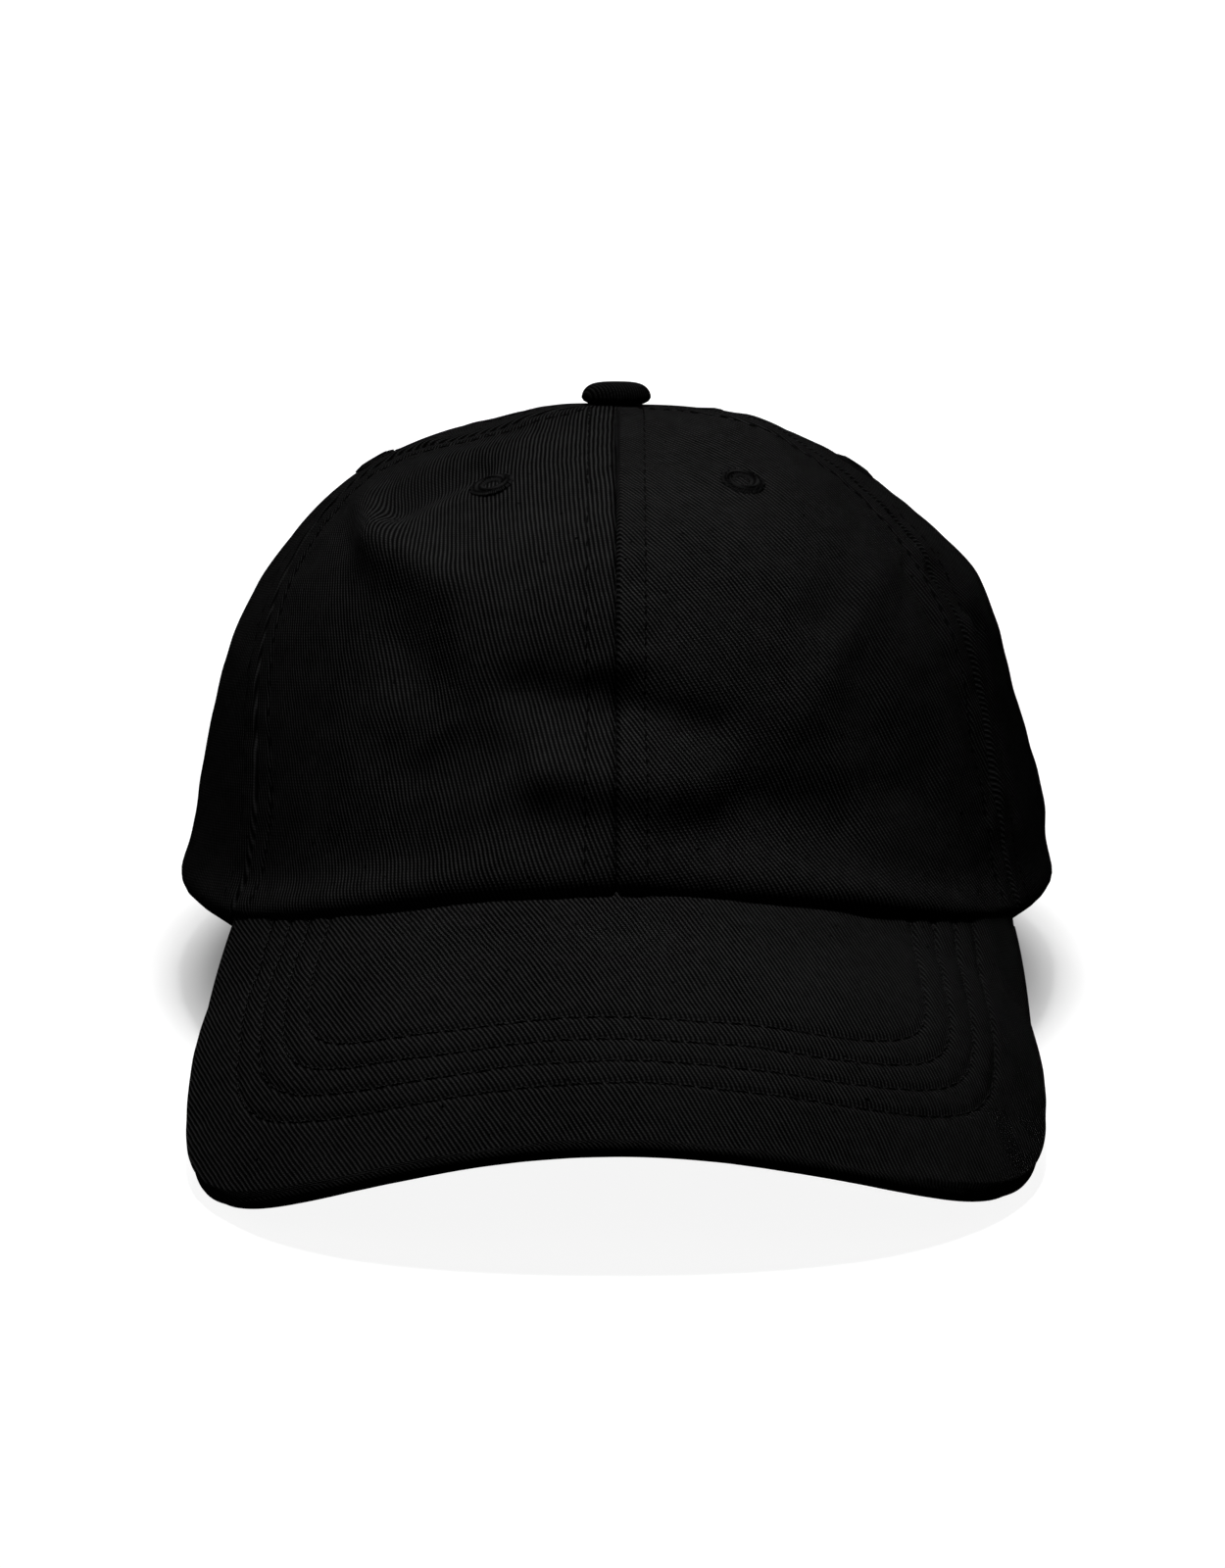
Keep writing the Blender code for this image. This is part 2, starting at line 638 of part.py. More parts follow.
# ---- Standing on a table ----
def world_points(items):
    """Corner points of evaluated objects in world space, as an array."""
    bpy.context.view_layer.update()
    graph = bpy.context.evaluated_depsgraph_get()
    points = []
    for item in items:
        mesh = item.evaluated_get(graph).to_mesh()
        points += [item.matrix_world @ vertex.co for vertex in mesh.vertices]
    return np.array(points)


def stand_on_table(cap):
    """Lean the cap back onto its visor tips and rear hem, then centre its box on the origin."""
    visor = world_points([bpy.data.objects["visor_under_cover"]])
    rear = world_points([bpy.data.objects["back_panel_left"], bpy.data.objects["back_panel_right"]])
    less, more = 0.0, radians(25)
    for _ in range(40):
        lean = (less + more) / 2
        lowest = [(points @ np.array((0.0, -sin(lean), cos(lean)))).min() for points in (visor, rear)]
        if lowest[0] < lowest[1]:
            less = lean
        else:
            more = lean
    cap.rotation_euler = (-lean, 0.0, 0.0)
    pieces = [o for o in bpy.data.objects if o.type == "MESH" and not o.hide_render]
    points = world_points(pieces)
    low, high = points.min(axis=0), points.max(axis=0)
    middle = (low + high) / 2
    cap.location = (-middle[0], -middle[1], -low[2])
    bpy.context.view_layer.update()


def build():
    """Make the whole cap."""
    clear_scene()
    black_twill = make_material("black_twill", (0.006, 0.006, 0.0065), 0.9)
    black_thread = make_material("black_thread", (0.010, 0.010, 0.011), 0.7)
    black_tape = make_material("black_tape", (0.009, 0.009, 0.010), 0.85)
    sweat_cloth = make_material("sweatband_cloth", (0.008, 0.008, 0.009), 0.9)
    label_cloth = make_material("label_cloth", (0.55, 0.55, 0.53), 0.8)
    board_plastic = make_material("board_plastic", (0.60, 0.60, 0.58), 0.5)
    brass = make_material("antique_brass", (0.30, 0.21, 0.10), 0.35, 1.0)
    steel = make_material("button_steel", (0.50, 0.50, 0.50), 0.35, 1.0)

    cap = make_empty("cap_on_table")
    third = pi / 3
    names = ("back_panel_right", "side_panel_right", "front_panel_right",
             "front_panel_left", "side_panel_left", "back_panel_left")
    for index, name in enumerate(names):
        first = -pi + index * third
        panel = make_panel(name, first, first + third, cap, black_twill)
        make_eyelet(name.replace("panel", "eyelet"), first + third / 2, panel, cap, black_thread)
    for name, turn in (("front_tape_right", -third), ("front_tape_left", third),
                       ("rear_tape_right", -2 * third), ("rear_tape_left", 2 * third)):
        make_side_tape(name, turn, cap, black_tape)
    make_centre_tape(cap, black_tape)
    make_arch_facing(cap, black_tape)
    make_sweatband(cap, sweat_cloth)
    make_label(cap, label_cloth)
    make_button(cap, black_twill, steel)
    make_visor(cap, black_twill, board_plastic)
    make_strap(cap, black_twill)
    make_tab(cap, black_twill)
    make_buckle(cap, brass)
    stand_on_table(cap)


build()
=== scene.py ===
"""The looks of a black cotton-twill baseball cap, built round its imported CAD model.

Every cloth piece is made again as a fine surface from the same few formulas that shape the CAD
solids, with the folds, seam valleys, stitch rows and weave that the solids leave out. All shapes are
worked out in the cap's upright rim frame (z = 0 at the hem, front towards -Y) and moved into the
world by the frame that the strap's joint gives. Lengths are in metres, and left is the wearer's.
"""
import json
import bpy
import numpy as np
from math import atan2, cos, pi, radians, sin
from mathutils import Matrix, Vector


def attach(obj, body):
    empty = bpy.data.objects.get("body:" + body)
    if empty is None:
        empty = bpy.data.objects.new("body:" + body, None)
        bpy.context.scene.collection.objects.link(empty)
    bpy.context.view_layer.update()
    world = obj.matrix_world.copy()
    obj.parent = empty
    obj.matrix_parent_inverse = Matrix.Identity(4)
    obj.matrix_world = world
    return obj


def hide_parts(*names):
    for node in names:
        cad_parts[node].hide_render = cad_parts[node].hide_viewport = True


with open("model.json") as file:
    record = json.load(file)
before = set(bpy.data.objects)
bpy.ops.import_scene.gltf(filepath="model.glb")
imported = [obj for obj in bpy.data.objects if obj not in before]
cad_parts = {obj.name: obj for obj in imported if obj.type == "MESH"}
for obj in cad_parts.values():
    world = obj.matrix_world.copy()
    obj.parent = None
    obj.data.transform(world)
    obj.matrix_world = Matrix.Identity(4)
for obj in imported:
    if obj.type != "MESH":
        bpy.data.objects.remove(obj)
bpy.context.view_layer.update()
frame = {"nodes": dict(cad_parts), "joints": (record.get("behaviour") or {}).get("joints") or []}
JOINTS = {joint["name"]: joint for joint in frame["joints"]}

# ---- Driving dimensions, as in the CAD model ----
CROWN_HALF_WIDTH = 0.094
CROWN_FRONT_LENGTH = 0.106
CROWN_HEIGHT = 0.105
CROWN_LEAN = 0.25
TOP_ROUNDNESS = 5
FRONT_HEM_RISE = 0.0105
FRONT_HEM_HALF_ANGLE = radians(72)
PANEL_THICKNESS = 0.0010
TOP_HOLE_RADIUS = 0.0027
ARCH_HALF_WIDTH = 0.046
ARCH_HEIGHT = 0.052
EYELET_HEIGHT = 0.092
EYELET_RADIUS = 0.0045
EYELET_HOLE = 0.00115
EYELET_CORE = 0.0030
EYELET_LIFT = 0.00046
EYELET_LOOPS = 60
TAPE_DEPTH = 0.0013
SIDE_TAPE_DEPTH = TAPE_DEPTH + 0.0001
CENTRE_TAPE_DEPTH = TAPE_DEPTH + 0.0003
TAPE_THICKNESS = 0.0006
TAPE_HALF_WIDTH = 0.0065
FACING_WIDTH = 0.009
FACING_START = radians(34)
FACING_RADIUS = (ARCH_HALF_WIDTH + ARCH_HEIGHT) / 2
STRAP_DEPTH = 0.0024
STRAP_THICKNESS = 0.0014
STRAP_LOW = 0.0045
STRAP_HIGH = 0.0245
STRAP_HALF_ANGLE = 0.84
SWEATBAND_DEPTH = 0.0042
SWEATBAND_THICKNESS = 0.0012
SWEATBAND_HEIGHT = 0.034
SWEATBAND_END = 0.0475
SWEATBAND_TUCK = 0.0046
LABEL_TURNS = (2.12, 2.42)
LABEL_HEIGHTS = (0.009, 0.027)
LABEL_DEPTH = 0.0057
LABEL_THICKNESS = 0.0004
VISOR_SEAM_HEIGHT = 0.0162
VISOR_SEAM_FORWARD = 0.102
VISOR_SLOPE = radians(32.5)
VISOR_BEND_RADIUS = 0.110
VISOR_LENGTH = 0.0692
VISOR_HALF_WIDTH = 0.0948
VISOR_WIDEST_ALONG = 0.013
VISOR_CORNER_POWERS = {-1: 3.25, 1: 2.95}
VISOR_SIDE_TAPERS = {-1: (0.0098, 2), 1: (0.0030, 4)}
VISOR_TAPER_LENGTH = 0.046
VISOR_THICKNESS = 0.0038
VISOR_COLUMNS = 340
VISOR_HORN = -0.0300
SEAM_UNDERLAP = 0.0045
VISOR_EDGE_ROLL = 0.0016
VISOR_LINING_DEPTH = 0.0009
VISOR_UNDER_DEPTH = 0.0030
BUCKLE_OFFSET = 0.015
BAR_ALONG = 0.0072
BAR_LIFT = 0.0027
METAL_BEVEL = 0.00022

# ---- Sizes of the sewing ----
EDGE_ROUNDING = 0.45
SEAM_BAND = 0.0058
SEAM_GAP = 0.00012
STITCH_LENGTH = 0.0027
STITCH_GAP = 0.0006
THREAD_RADIUS = 0.00017
STITCH_SKEW = 0.00010
THREAD_SINK = 0.00012
VISOR_STITCH = {"stitch": 0.0029, "gap": 0.0005}
TWILL_PITCH = 0.00084
TWILL_BUMP = 0.00022
TWILL_STEEP, TWILL_FLAT = 0.894, 0.447
VISOR_ROW_INSET = 0.0157
VISOR_ROW_STEP = 0.0057
VISOR_ROWS = 4
ROW_GROOVE_DEPTH = 0.00055
ROW_GROOVE_WIDTH = 0.0008
TUCK_DEPTH = 0.0095
VISOR_SEAM_RISE = 0.0058
VISOR_SEAM_DEGREES = 76
SWELL_REACH = 0.0050
FRONT_SWELL_REACH = 0.0036
FRONT_SWELL_DEGREES = 16
BACK_STARTS = radians(104)
BACK_BLEND = radians(13)
GAPE_HEIGHT = 0.088
GAPE_TURN = -radians(76)


# ---- The cap's rim frame ----
def rim_matrix():
    """World matrix of the upright rim frame, from the joint that turns the strap about its axis."""
    slide = JOINTS["strap_slide"]
    axis = slide["axis"]
    return Matrix.Translation(slide["pos_m"]) @ Matrix.Rotation(-atan2(axis[1], axis[2]), 4, "X")


RIM = rim_matrix()
RIM_ARRAY = np.array(RIM)


def to_world(points):
    """Rim-frame points, moved into the world."""
    points = np.asarray(points, float)
    return points @ RIM_ARRAY[:3, :3].T + RIM_ARRAY[:3, 3]


# ---- Mesh helpers ----
def mesh_object(name, points, faces, cloth, material):
    """Smooth object from rim-frame points and faces; cloth is where each point lies on the flat cloth."""
    mesh = bpy.data.meshes.new(name)
    mesh.from_pydata(to_world(points).tolist(), [], faces)
    layer = mesh.attributes.new("cloth", "FLOAT_VECTOR", "POINT")
    layer.data.foreach_set("vector", np.asarray(cloth, np.float32).ravel())
    mesh.update()
    mesh.shade_smooth()
    item = bpy.data.objects.new(name, mesh)
    bpy.context.scene.collection.objects.link(item)
    mesh.materials.append(material)
    return item


def grid_faces(rows, columns, start=0, flip=False):
    """Quads over a rows x columns block of points."""
    index = np.arange(rows * columns).reshape(rows, columns) + start
    quads = np.stack((index[:-1, :-1], index[:-1, 1:], index[1:, 1:], index[1:, :-1]), -1).reshape(-1, 4)
    return (quads[:, ::-1] if flip else quads).tolist()


def border(rows, columns):
    """Indices round the edge of a rows x columns block, in order."""
    index = np.arange(rows * columns).reshape(rows, columns)
    return np.concatenate((index[0, :-1], index[:-1, -1], index[-1, :0:-1], index[:0:-1, 0]))


def cloth_slab(name, outer, inner, cloth, material):
    """Closed piece of cloth between two grids, with a rounded edge all round."""
    rows, columns = outer.shape[:2]
    count = rows * columns
    edge = border(rows, columns)
    outer_flat = outer.reshape(-1, 3)
    inner_flat = inner.reshape(-1, 3)
    middle = (outer_flat[edge] + inner_flat[edge]) / 2
    thickness = np.linalg.norm(outer_flat[edge] - inner_flat[edge], axis=1, keepdims=True)
    away = np.zeros_like(outer)
    away[0] += outer[0] - outer[1]
    away[-1] += outer[-1] - outer[-2]
    away[:, 0] += outer[:, 0] - outer[:, 1]
    away[:, -1] += outer[:, -1] - outer[:, -2]
    away = away.reshape(-1, 3)[edge]
    away /= np.maximum(np.linalg.norm(away, axis=1, keepdims=True), 1e-9)
    middle = middle + away * thickness * EDGE_ROUNDING
    points = np.concatenate((outer_flat, inner_flat, middle))
    faces = grid_faces(rows, columns) + grid_faces(rows, columns, count, flip=True)
    length = len(edge)
    for step in range(length):
        a, b = int(edge[step]), int(edge[(step + 1) % length])
        m, n = 2 * count + step, 2 * count + (step + 1) % length
        faces.append((b, a, m, n))
        faces.append((n, m, a + count, b + count))
    cloth_flat = np.asarray(cloth).reshape(-1, 3)
    cloth_all = np.concatenate((cloth_flat, cloth_flat, cloth_flat[edge]))
    return mesh_object(name, points, faces, cloth_all, material)


def unit(vectors):
    """Vectors at length 1."""
    return vectors / np.maximum(np.linalg.norm(vectors, axis=-1, keepdims=True), 1e-12)


def run_lengths(points):
    """Length from a line's start to each of its points."""
    return np.concatenate(([0.0], np.cumsum(np.linalg.norm(np.diff(points, axis=0), axis=1))))


def along_line(wanted, lengths, values):
    """Values at the wanted lengths along a line."""
    return np.stack([np.interp(wanted, lengths, column) for column in values.T], -1)


def resample(points, count):
    """Points at equal spacing along a line."""
    points = np.asarray(points, float)
    lengths = run_lengths(points)
    return along_line(np.linspace(0.0, lengths[-1], count), lengths, points)


class Threads:
    """Collects sewn stitches, each a short bowed thread that dips into the cloth at both ends."""

    RISE = np.array((-1.2, -0.2, 0.35, 0.45, 0.35, -0.2, -1.2))
    SWELL = np.array((0.55, 0.95, 1.0, 1.0, 1.0, 0.95, 0.55))

    def __init__(self, seed):
        self.random = np.random.RandomState(seed)
        self.points = []
        self.faces = []
        self.cloth = []
        self.count = 0

    def tubes(self, centres, normals, radius, swell, sides=6):
        """One tube per row of centres, with closed ends."""
        number, rings = centres.shape[:2]
        along = unit(np.gradient(centres, axis=1))
        across = unit(np.cross(along, normals))
        upward = unit(np.cross(across, along))
        angles = 2 * pi * np.arange(sides) / sides
        size = radius * swell[None, :, None, None]
        ring = (np.cos(angles)[None, None, :, None] * across[:, :, None] +
                np.sin(angles)[None, None, :, None] * upward[:, :, None])
        points = centres[:, :, None] + ring * size
        index = np.arange(number * rings * sides).reshape(number, rings, sides) + self.count
        following = np.roll(index, -1, axis=2)
        quads = np.stack((index[:, :-1], following[:, :-1], following[:, 1:], index[:, 1:]), -1)
        self.faces += quads.reshape(-1, 4).tolist()
        self.faces += index[:, 0, ::-1].tolist() + index[:, -1].tolist()
        self.points.append(points.reshape(-1, 3))
        run = np.linspace(0.0, STITCH_LENGTH, rings)[None, :, None] + np.zeros((number, rings, sides))
        turn = np.broadcast_to(angles, (number, rings, sides))
        self.cloth.append(np.stack((run, turn, np.zeros_like(run)), -1).reshape(-1, 3))
        self.count += number * rings * sides

    def sew(self, path, normals, stitch=STITCH_LENGTH, gap=STITCH_GAP):
        """A run of stitches along a line that lies on the cloth."""
        lengths = run_lengths(path)
        number = max(2, int(lengths[-1] / (stitch + gap)))
        rings = len(self.RISE)
        share = stitch / (stitch + gap)
        places = (np.arange(number)[:, None] + share * np.linspace(0, 1, rings)[None, :]) / number
        wanted = places * lengths[-1]
        centres = along_line(wanted, lengths, path)
        upward = unit(along_line(wanted, lengths, normals))
        along = unit(np.gradient(centres, axis=1))
        sideways = unit(np.cross(upward, along))
        skew = self.random.normal(0.0, STITCH_SKEW, (number, 1, 1)) * np.linspace(-1, 1, rings)[None, :, None]
        lift = THREAD_RADIUS * (self.RISE[None, :, None] + self.random.normal(0, 0.12, (number, 1, 1)))
        self.tubes(centres + upward * lift + sideways * skew, upward, THREAD_RADIUS, self.SWELL)

    def make(self, name, material):
        """All stitches collected so far, as one piece."""
        points, cloth = np.concatenate(self.points), np.concatenate(self.cloth)
        return mesh_object(name, points, self.faces, cloth, material)


# ---- Crown surface ----
def crown_scale(height):
    """Plan size of the crown at a height, as a fraction of its size at the hem."""
    rise = np.asarray(height) / CROWN_HEIGHT
    return (1 - CROWN_LEAN * rise) * np.sqrt(np.maximum(0, 1 - np.maximum(rise, 0) ** TOP_ROUNDNESS))


def girth_radius(height, least=0.0):
    """Half the crown's width at a height, taken as no less than a share of its width at the hem."""
    return CROWN_HALF_WIDTH * np.maximum(crown_scale(height), least)


def crown_face(turn, height):
    """Smooth outer face; turn is 0 at the front seam and grows towards +X."""
    turn, height = np.broadcast_arrays(turn, height)
    scale = crown_scale(height)
    reach = np.where(np.cos(turn) > 0, CROWN_FRONT_LENGTH, CROWN_HALF_WIDTH)
    return np.stack((CROWN_HALF_WIDTH * scale * np.sin(turn), -reach * scale * np.cos(turn), height), -1)


def crown_normal(turn, height):
    """Outward normal of the smooth outer face."""
    height = np.minimum(height, CROWN_HEIGHT * 0.9999) - 1e-5
    along = crown_face(turn + 1e-3, height) - crown_face(turn - 1e-3, height)
    upward = crown_face(turn, height + 1e-5) - crown_face(turn, height - 1e-5)
    return unit(np.cross(along, upward))


PROFILE_HEIGHTS = CROWN_HEIGHT * (1 - np.linspace(1.0, 0.0, 600) ** 2.5)
PROFILE_RADII = CROWN_HALF_WIDTH * crown_scale(PROFILE_HEIGHTS)
PROFILE_LENGTHS = run_lengths(np.stack((PROFILE_HEIGHTS, PROFILE_RADII), -1))
PROFILE_LENGTH = PROFILE_LENGTHS[-1]


def climb(height):
    """Length up the side profile from the hem plane to a height."""
    return np.interp(height, PROFILE_HEIGHTS, PROFILE_LENGTHS)


def height_at(length):
    """Height at a length up the side profile."""
    return np.interp(length, PROFILE_LENGTHS, PROFILE_HEIGHTS)


def height_at_radius(radius):
    """Height where the side profile has come in to a radius."""
    return np.interp(-np.asarray(radius), -PROFILE_RADII, PROFILE_HEIGHTS)


def smooth_step(value):
    """0 below 0, 1 above 1, smooth between."""
    value = np.clip(value, 0, 1)
    return value * value * (3 - 2 * value)


def wrapped(turn):
    """Turn brought to the range from -pi to pi."""
    return (np.asarray(turn) + pi) % (2 * pi) - pi


def hem_height(turn):
    """Height of the hem: arched up over the visor, level elsewhere."""
    turn = np.minimum(np.abs(wrapped(turn)), FRONT_HEM_HALF_ANGLE)
    return FRONT_HEM_RISE * np.cos(turn / FRONT_HEM_HALF_ANGLE * pi / 2) ** 2


def arch_height(turn):
    """Height of the back opening's edge, 0 where the hem is closed."""
    across = CROWN_HALF_WIDTH * np.abs(np.asarray(turn) % (2 * pi) - pi) / ARCH_HALF_WIDTH
    return ARCH_HEIGHT * np.sqrt(np.maximum(0, 1 - across * across))


# How far each front side seam strays from its even place: height in mm, degrees towards +X.
SEAM_STRAY = {
    1: ((0, 0), (15, 1.5), (30, 2.5), (50, 5), (70, 6), (88, 9), (98, 6), (105, 0)),
    -1: ((0, 5), (8, 4.5), (14, 4), (28, 3.5), (41, -0.5), (59, -7), (72, -12.5), (92, -18.5),
         (99, -14), (105, 0)),
}


def seam_turn(number, height):
    """Turn of a crown seam: 0 is the front seam, and the two beside it wander and bow back."""
    height = np.asarray(height, float)
    turn = number * pi / 3 + np.zeros_like(height)
    if abs(number) != 1:
        return turn
    knots = np.array(SEAM_STRAY[number], float)
    for offset in (-0.005, -0.0025, 0.0, 0.0025, 0.005):
        place = np.clip(height + offset * smooth_step((CROWN_HEIGHT - height) / 0.008), 0, CROWN_HEIGHT)
        turn = turn + np.radians(np.interp(place * 1000, knots[:, 0], knots[:, 1])) / 5
    return turn


def seam_distance(turn, height):
    """Distance round the crown to the nearest seam."""
    girth = girth_radius(height, 0.02)
    gaps = [np.abs(wrapped(turn - seam_turn(number, height))) for number in (-2, -1, 0, 1, 2, 3)]
    return np.minimum.reduce(gaps) * girth


def waves(points, seed, number, longest, shortest):
    """Smooth unevenness through space, about -1 to 1, as a sum of plane waves."""
    random = np.random.RandomState(seed)
    total = np.zeros(points.shape[:-1])
    for _ in range(number):
        direction = random.normal(size=3)
        direction /= np.linalg.norm(direction)
        wavelength = shortest * (longest / shortest) ** random.random_sample()
        total += np.sin(points @ direction * (2 * pi / wavelength) + random.random_sample() * 2 * pi)
    return total / np.sqrt(number)


# Folds that stay in the soft crown: turn in degrees and height in mm at both ends, half width in mm,
# rise in mm (negative where the cloth is pressed in).
FOLDS = (
    (-13, 54, -1, 52.5, 6.0, -3.4),
    (3, 52, 13, 47, 5.0, -2.4),
    (-9, 38, 11, 35, 6.2, 4.0),
    (-5, 29, 5, 29, 5.0, 0.8),
    (14, 33, 30, 29, 6.5, -1.8),
    (-30, 40, -15, 42, 7.0, -2.0),
    (27, 50, 48, 73, 6.5, 1.4),
    (-22, 50, -30, 58, 8.0, -1.4),
    (-38, 95, -50, 86, 4.0, -2.8),
    (-46, 79, -28, 73, 6.0, 2.8),
    (-60, 86, -46, 79, 6.0, 2.0),
    (-34, 62, -30, 55, 8.0, -1.8),
    (-31, 39, -23, 48, 2.4, 0.7),
    (37, 66, 41, 34, 9.0, -2.6),
    (66, 72, 72, 60, 2.6, -1.3),
    (58, 74, 61, 30, 2.2, -0.8),
    (69, 62, 64, 26, 2.4, 0.9),
    (73, 58, 69, 22, 2.2, -0.9),
    (50, 50, 47, 26, 5.0, -0.8),
    (84, 66, 94, 24, 12.0, 2.4),
    (-82, 54, -94, 27, 13.0, 1.8),
    (104, 60, 124, 40, 8.0, -2.0),
    (-108, 62, -125, 45, 8.0, -1.8),
    (140, 78, 118, 60, 7.0, -1.5),
    (-140, 76, -160, 62, 7.0, -1.4),
    (-80, 100, -25, 102.5, 10.0, -1.5),
    (65, 100, 25, 102.5, 10.0, 1.3),
)


def fold_relief(turn, height):
    """Large folds and dents of the soft crown."""
    turn = wrapped(turn)
    across = turn * girth_radius(height, 0.05)
    upward = climb(height)
    total = np.zeros(np.broadcast(turn, height).shape)
    for start_turn, start_height, end_turn, end_height, width, rise in FOLDS:
        ends = []
        for degrees, level in ((start_turn, start_height * 0.001), (end_turn, end_height * 0.001)):
            ends.append((radians(degrees) * float(girth_radius(level)), float(climb(level))))
        (x0, y0), (x1, y1) = ends
        run = (x1 - x0) ** 2 + (y1 - y0) ** 2
        share = np.clip(((across - x0) * (x1 - x0) + (upward - y0) * (y1 - y0)) / run, 0, 1)
        gap = np.hypot(across - x0 - share * (x1 - x0), upward - y0 - share * (y1 - y0))
        total += rise * 0.001 * np.exp(-(gap / (width * 0.001)) ** 2)
    return total


# How the cloth swells over the visor seam and rolls under at the hem: degrees from the front seam, then
# in mm how far the roll hangs below the visor seam, its height, the swell above it, how far it rolls in.
HEM_ROLL = (
    (0, 1.2, 4.5, 4.4, 1.8),
    (10, 1.4, 4.3, 3.8, 1.8),
    (22, 2.0, 4.0, 3.8, 1.8),
    (36, 3.3, 3.2, 3.4, 1.8),
    (46, 3.9, 2.6, 2.8, 1.8),
    (56, 4.6, 2.6, 2.0, 3.6),
    (66, 5.0, 4.6, 1.2, 7.6),
    (76, 5.4, 5.4, 0.8, 9.0),
    (95, 5.5, 5.6, 0.5, 8.0),
    (118, 5.5, 5.5, 0.2, 2.0),
    (125, 5.5, 5.5, 0.0, 1.2),
    (145, 5.5, 5.0, 0.0, 0.8),
    (180, 5.5, 5.0, 0.0, 0.8),
)


def tuck_relief(turn, height):
    """The swell above the hem and the visor seam, and the roll of the cloth under it."""
    size = np.degrees(np.abs(wrapped(turn)))
    table = np.array(HEM_ROLL, float)
    places = [size + offset for offset in (-4, -2, 0, 2, 4)]
    hang, roll, swell, inward = (0.001 * sum(np.interp(place, table[:, 0], table[:, column])
                                             for place in places) / 5 for column in (1, 2, 3, 4))
    bottom = hem_height(turn) + VISOR_SEAM_RISE - hang
    crest = bottom + roll
    reach = SWELL_REACH + FRONT_SWELL_REACH * np.exp(-(size / FRONT_SWELL_DEGREES) ** 2)
    above = swell * np.exp(-(np.maximum(height - crest, 0) / reach) ** 2)
    share = np.maximum(crest - height, 0) / roll
    under = np.where(share < 1, inward * share ** 2, inward + 2 * inward * (share - 1))
    steep = np.where(share < 1, 0.0, 1.6 * (share - 1) * roll)
    return above - np.minimum(under + steep * (size < VISOR_SEAM_DEGREES), TUCK_DEPTH)


def body_relief(turn, height, limit=0.01):
    """Relief that every layer of the crown shares; an inner layer tucks in no further than its limit."""
    points = crown_face(turn, height)
    calm = smooth_step(np.asarray(height) / 0.02)
    rear = smooth_step((np.abs(wrapped(turn)) - BACK_STARTS) / BACK_BLEND)
    low = 1 - smooth_step((np.asarray(height) - 0.03) / 0.02)
    loose = 0.00055 * waves(points, 3, 12, 0.09, 0.035)
    hem = np.maximum(tuck_relief(turn, height), -limit)
    return hem + (fold_relief(turn, height) + loose * calm) * (1 - rear * low)


def skin_relief(turn, height):
    """Relief of the outer cloth alone: seam valleys, the bands beside them, puckers, small creases."""
    points = crown_face(turn, height)
    gap = seam_distance(turn, height)
    gape = smooth_step((np.asarray(height) - GAPE_HEIGHT) / 0.008) * np.exp(-((turn - GAPE_TURN) / 0.35) ** 2)
    valley = -(0.0016 + 0.0016 * gape) * np.exp(-(gap / (0.00055 + 0.0008 * gape)) ** 2)
    band = 0.00035 * (1 - smooth_step((gap - SEAM_BAND) / 0.0008))
    groove = -0.00034 * np.exp(-((gap - SEAM_BAND) / 0.0006) ** 2)
    pucker_size = np.exp(-((gap - 0.004) / 0.005) ** 2) * (0.5 + 0.5 * waves(points, 11, 6, 0.05, 0.02))
    phase = climb(height) * 2 * pi / 0.0085 + 2.5 * waves(points, 12, 5, 0.06, 0.03)
    pucker = 0.00022 * pucker_size * np.sin(phase)
    crease = 0.00010 * waves(points, 21, 16, 0.014, 0.006)
    arch_gap = arch_edge_distance(turn, height)
    arch_band = 0.0004 * (1 - smooth_step((arch_gap - 0.0075) / 0.0008))
    top = smooth_step((CROWN_HEIGHT - np.asarray(height)) / 0.0012)
    return (valley + band + groove + pucker + crease) * top + arch_band


def arch_edge_distance(turn, height):
    """About how far a place is from the edge of the back opening."""
    across = CROWN_HALF_WIDTH * np.abs(np.asarray(turn) % (2 * pi) - pi)
    radius = np.hypot(across / ARCH_HALF_WIDTH, np.asarray(height) / ARCH_HEIGHT)
    return np.maximum(0, radius - 1) * (ARCH_HALF_WIDTH + ARCH_HEIGHT) / 2


def crown_point(turn, height, depth, skin=0.0, level=None, limit=0.01):
    """Point at a depth under the crown's outer face, folds included."""
    turn, height, depth = np.broadcast_arrays(turn, height, depth)
    normal = crown_normal(turn, height)
    if level is None:
        level = np.maximum(0, 1 - height / 0.03)
    relief = body_relief(turn, height, limit)
    if skin:
        relief = relief + skin * skin_relief(turn, height)
    start = height + level * depth * normal[..., 2]
    return crown_face(turn, start) + normal * (relief - depth)[..., None]


def surface_normal(turn, height, skin=1.0):
    """Outward normal of the folded outer face."""
    step = 4e-4
    along = crown_point(turn + step * 6, height, 0, skin) - crown_point(turn - step * 6, height, 0, skin)
    upward = crown_point(turn, height + step, 0, skin) - crown_point(turn, height - step, 0, skin)
    return unit(np.cross(along, upward))


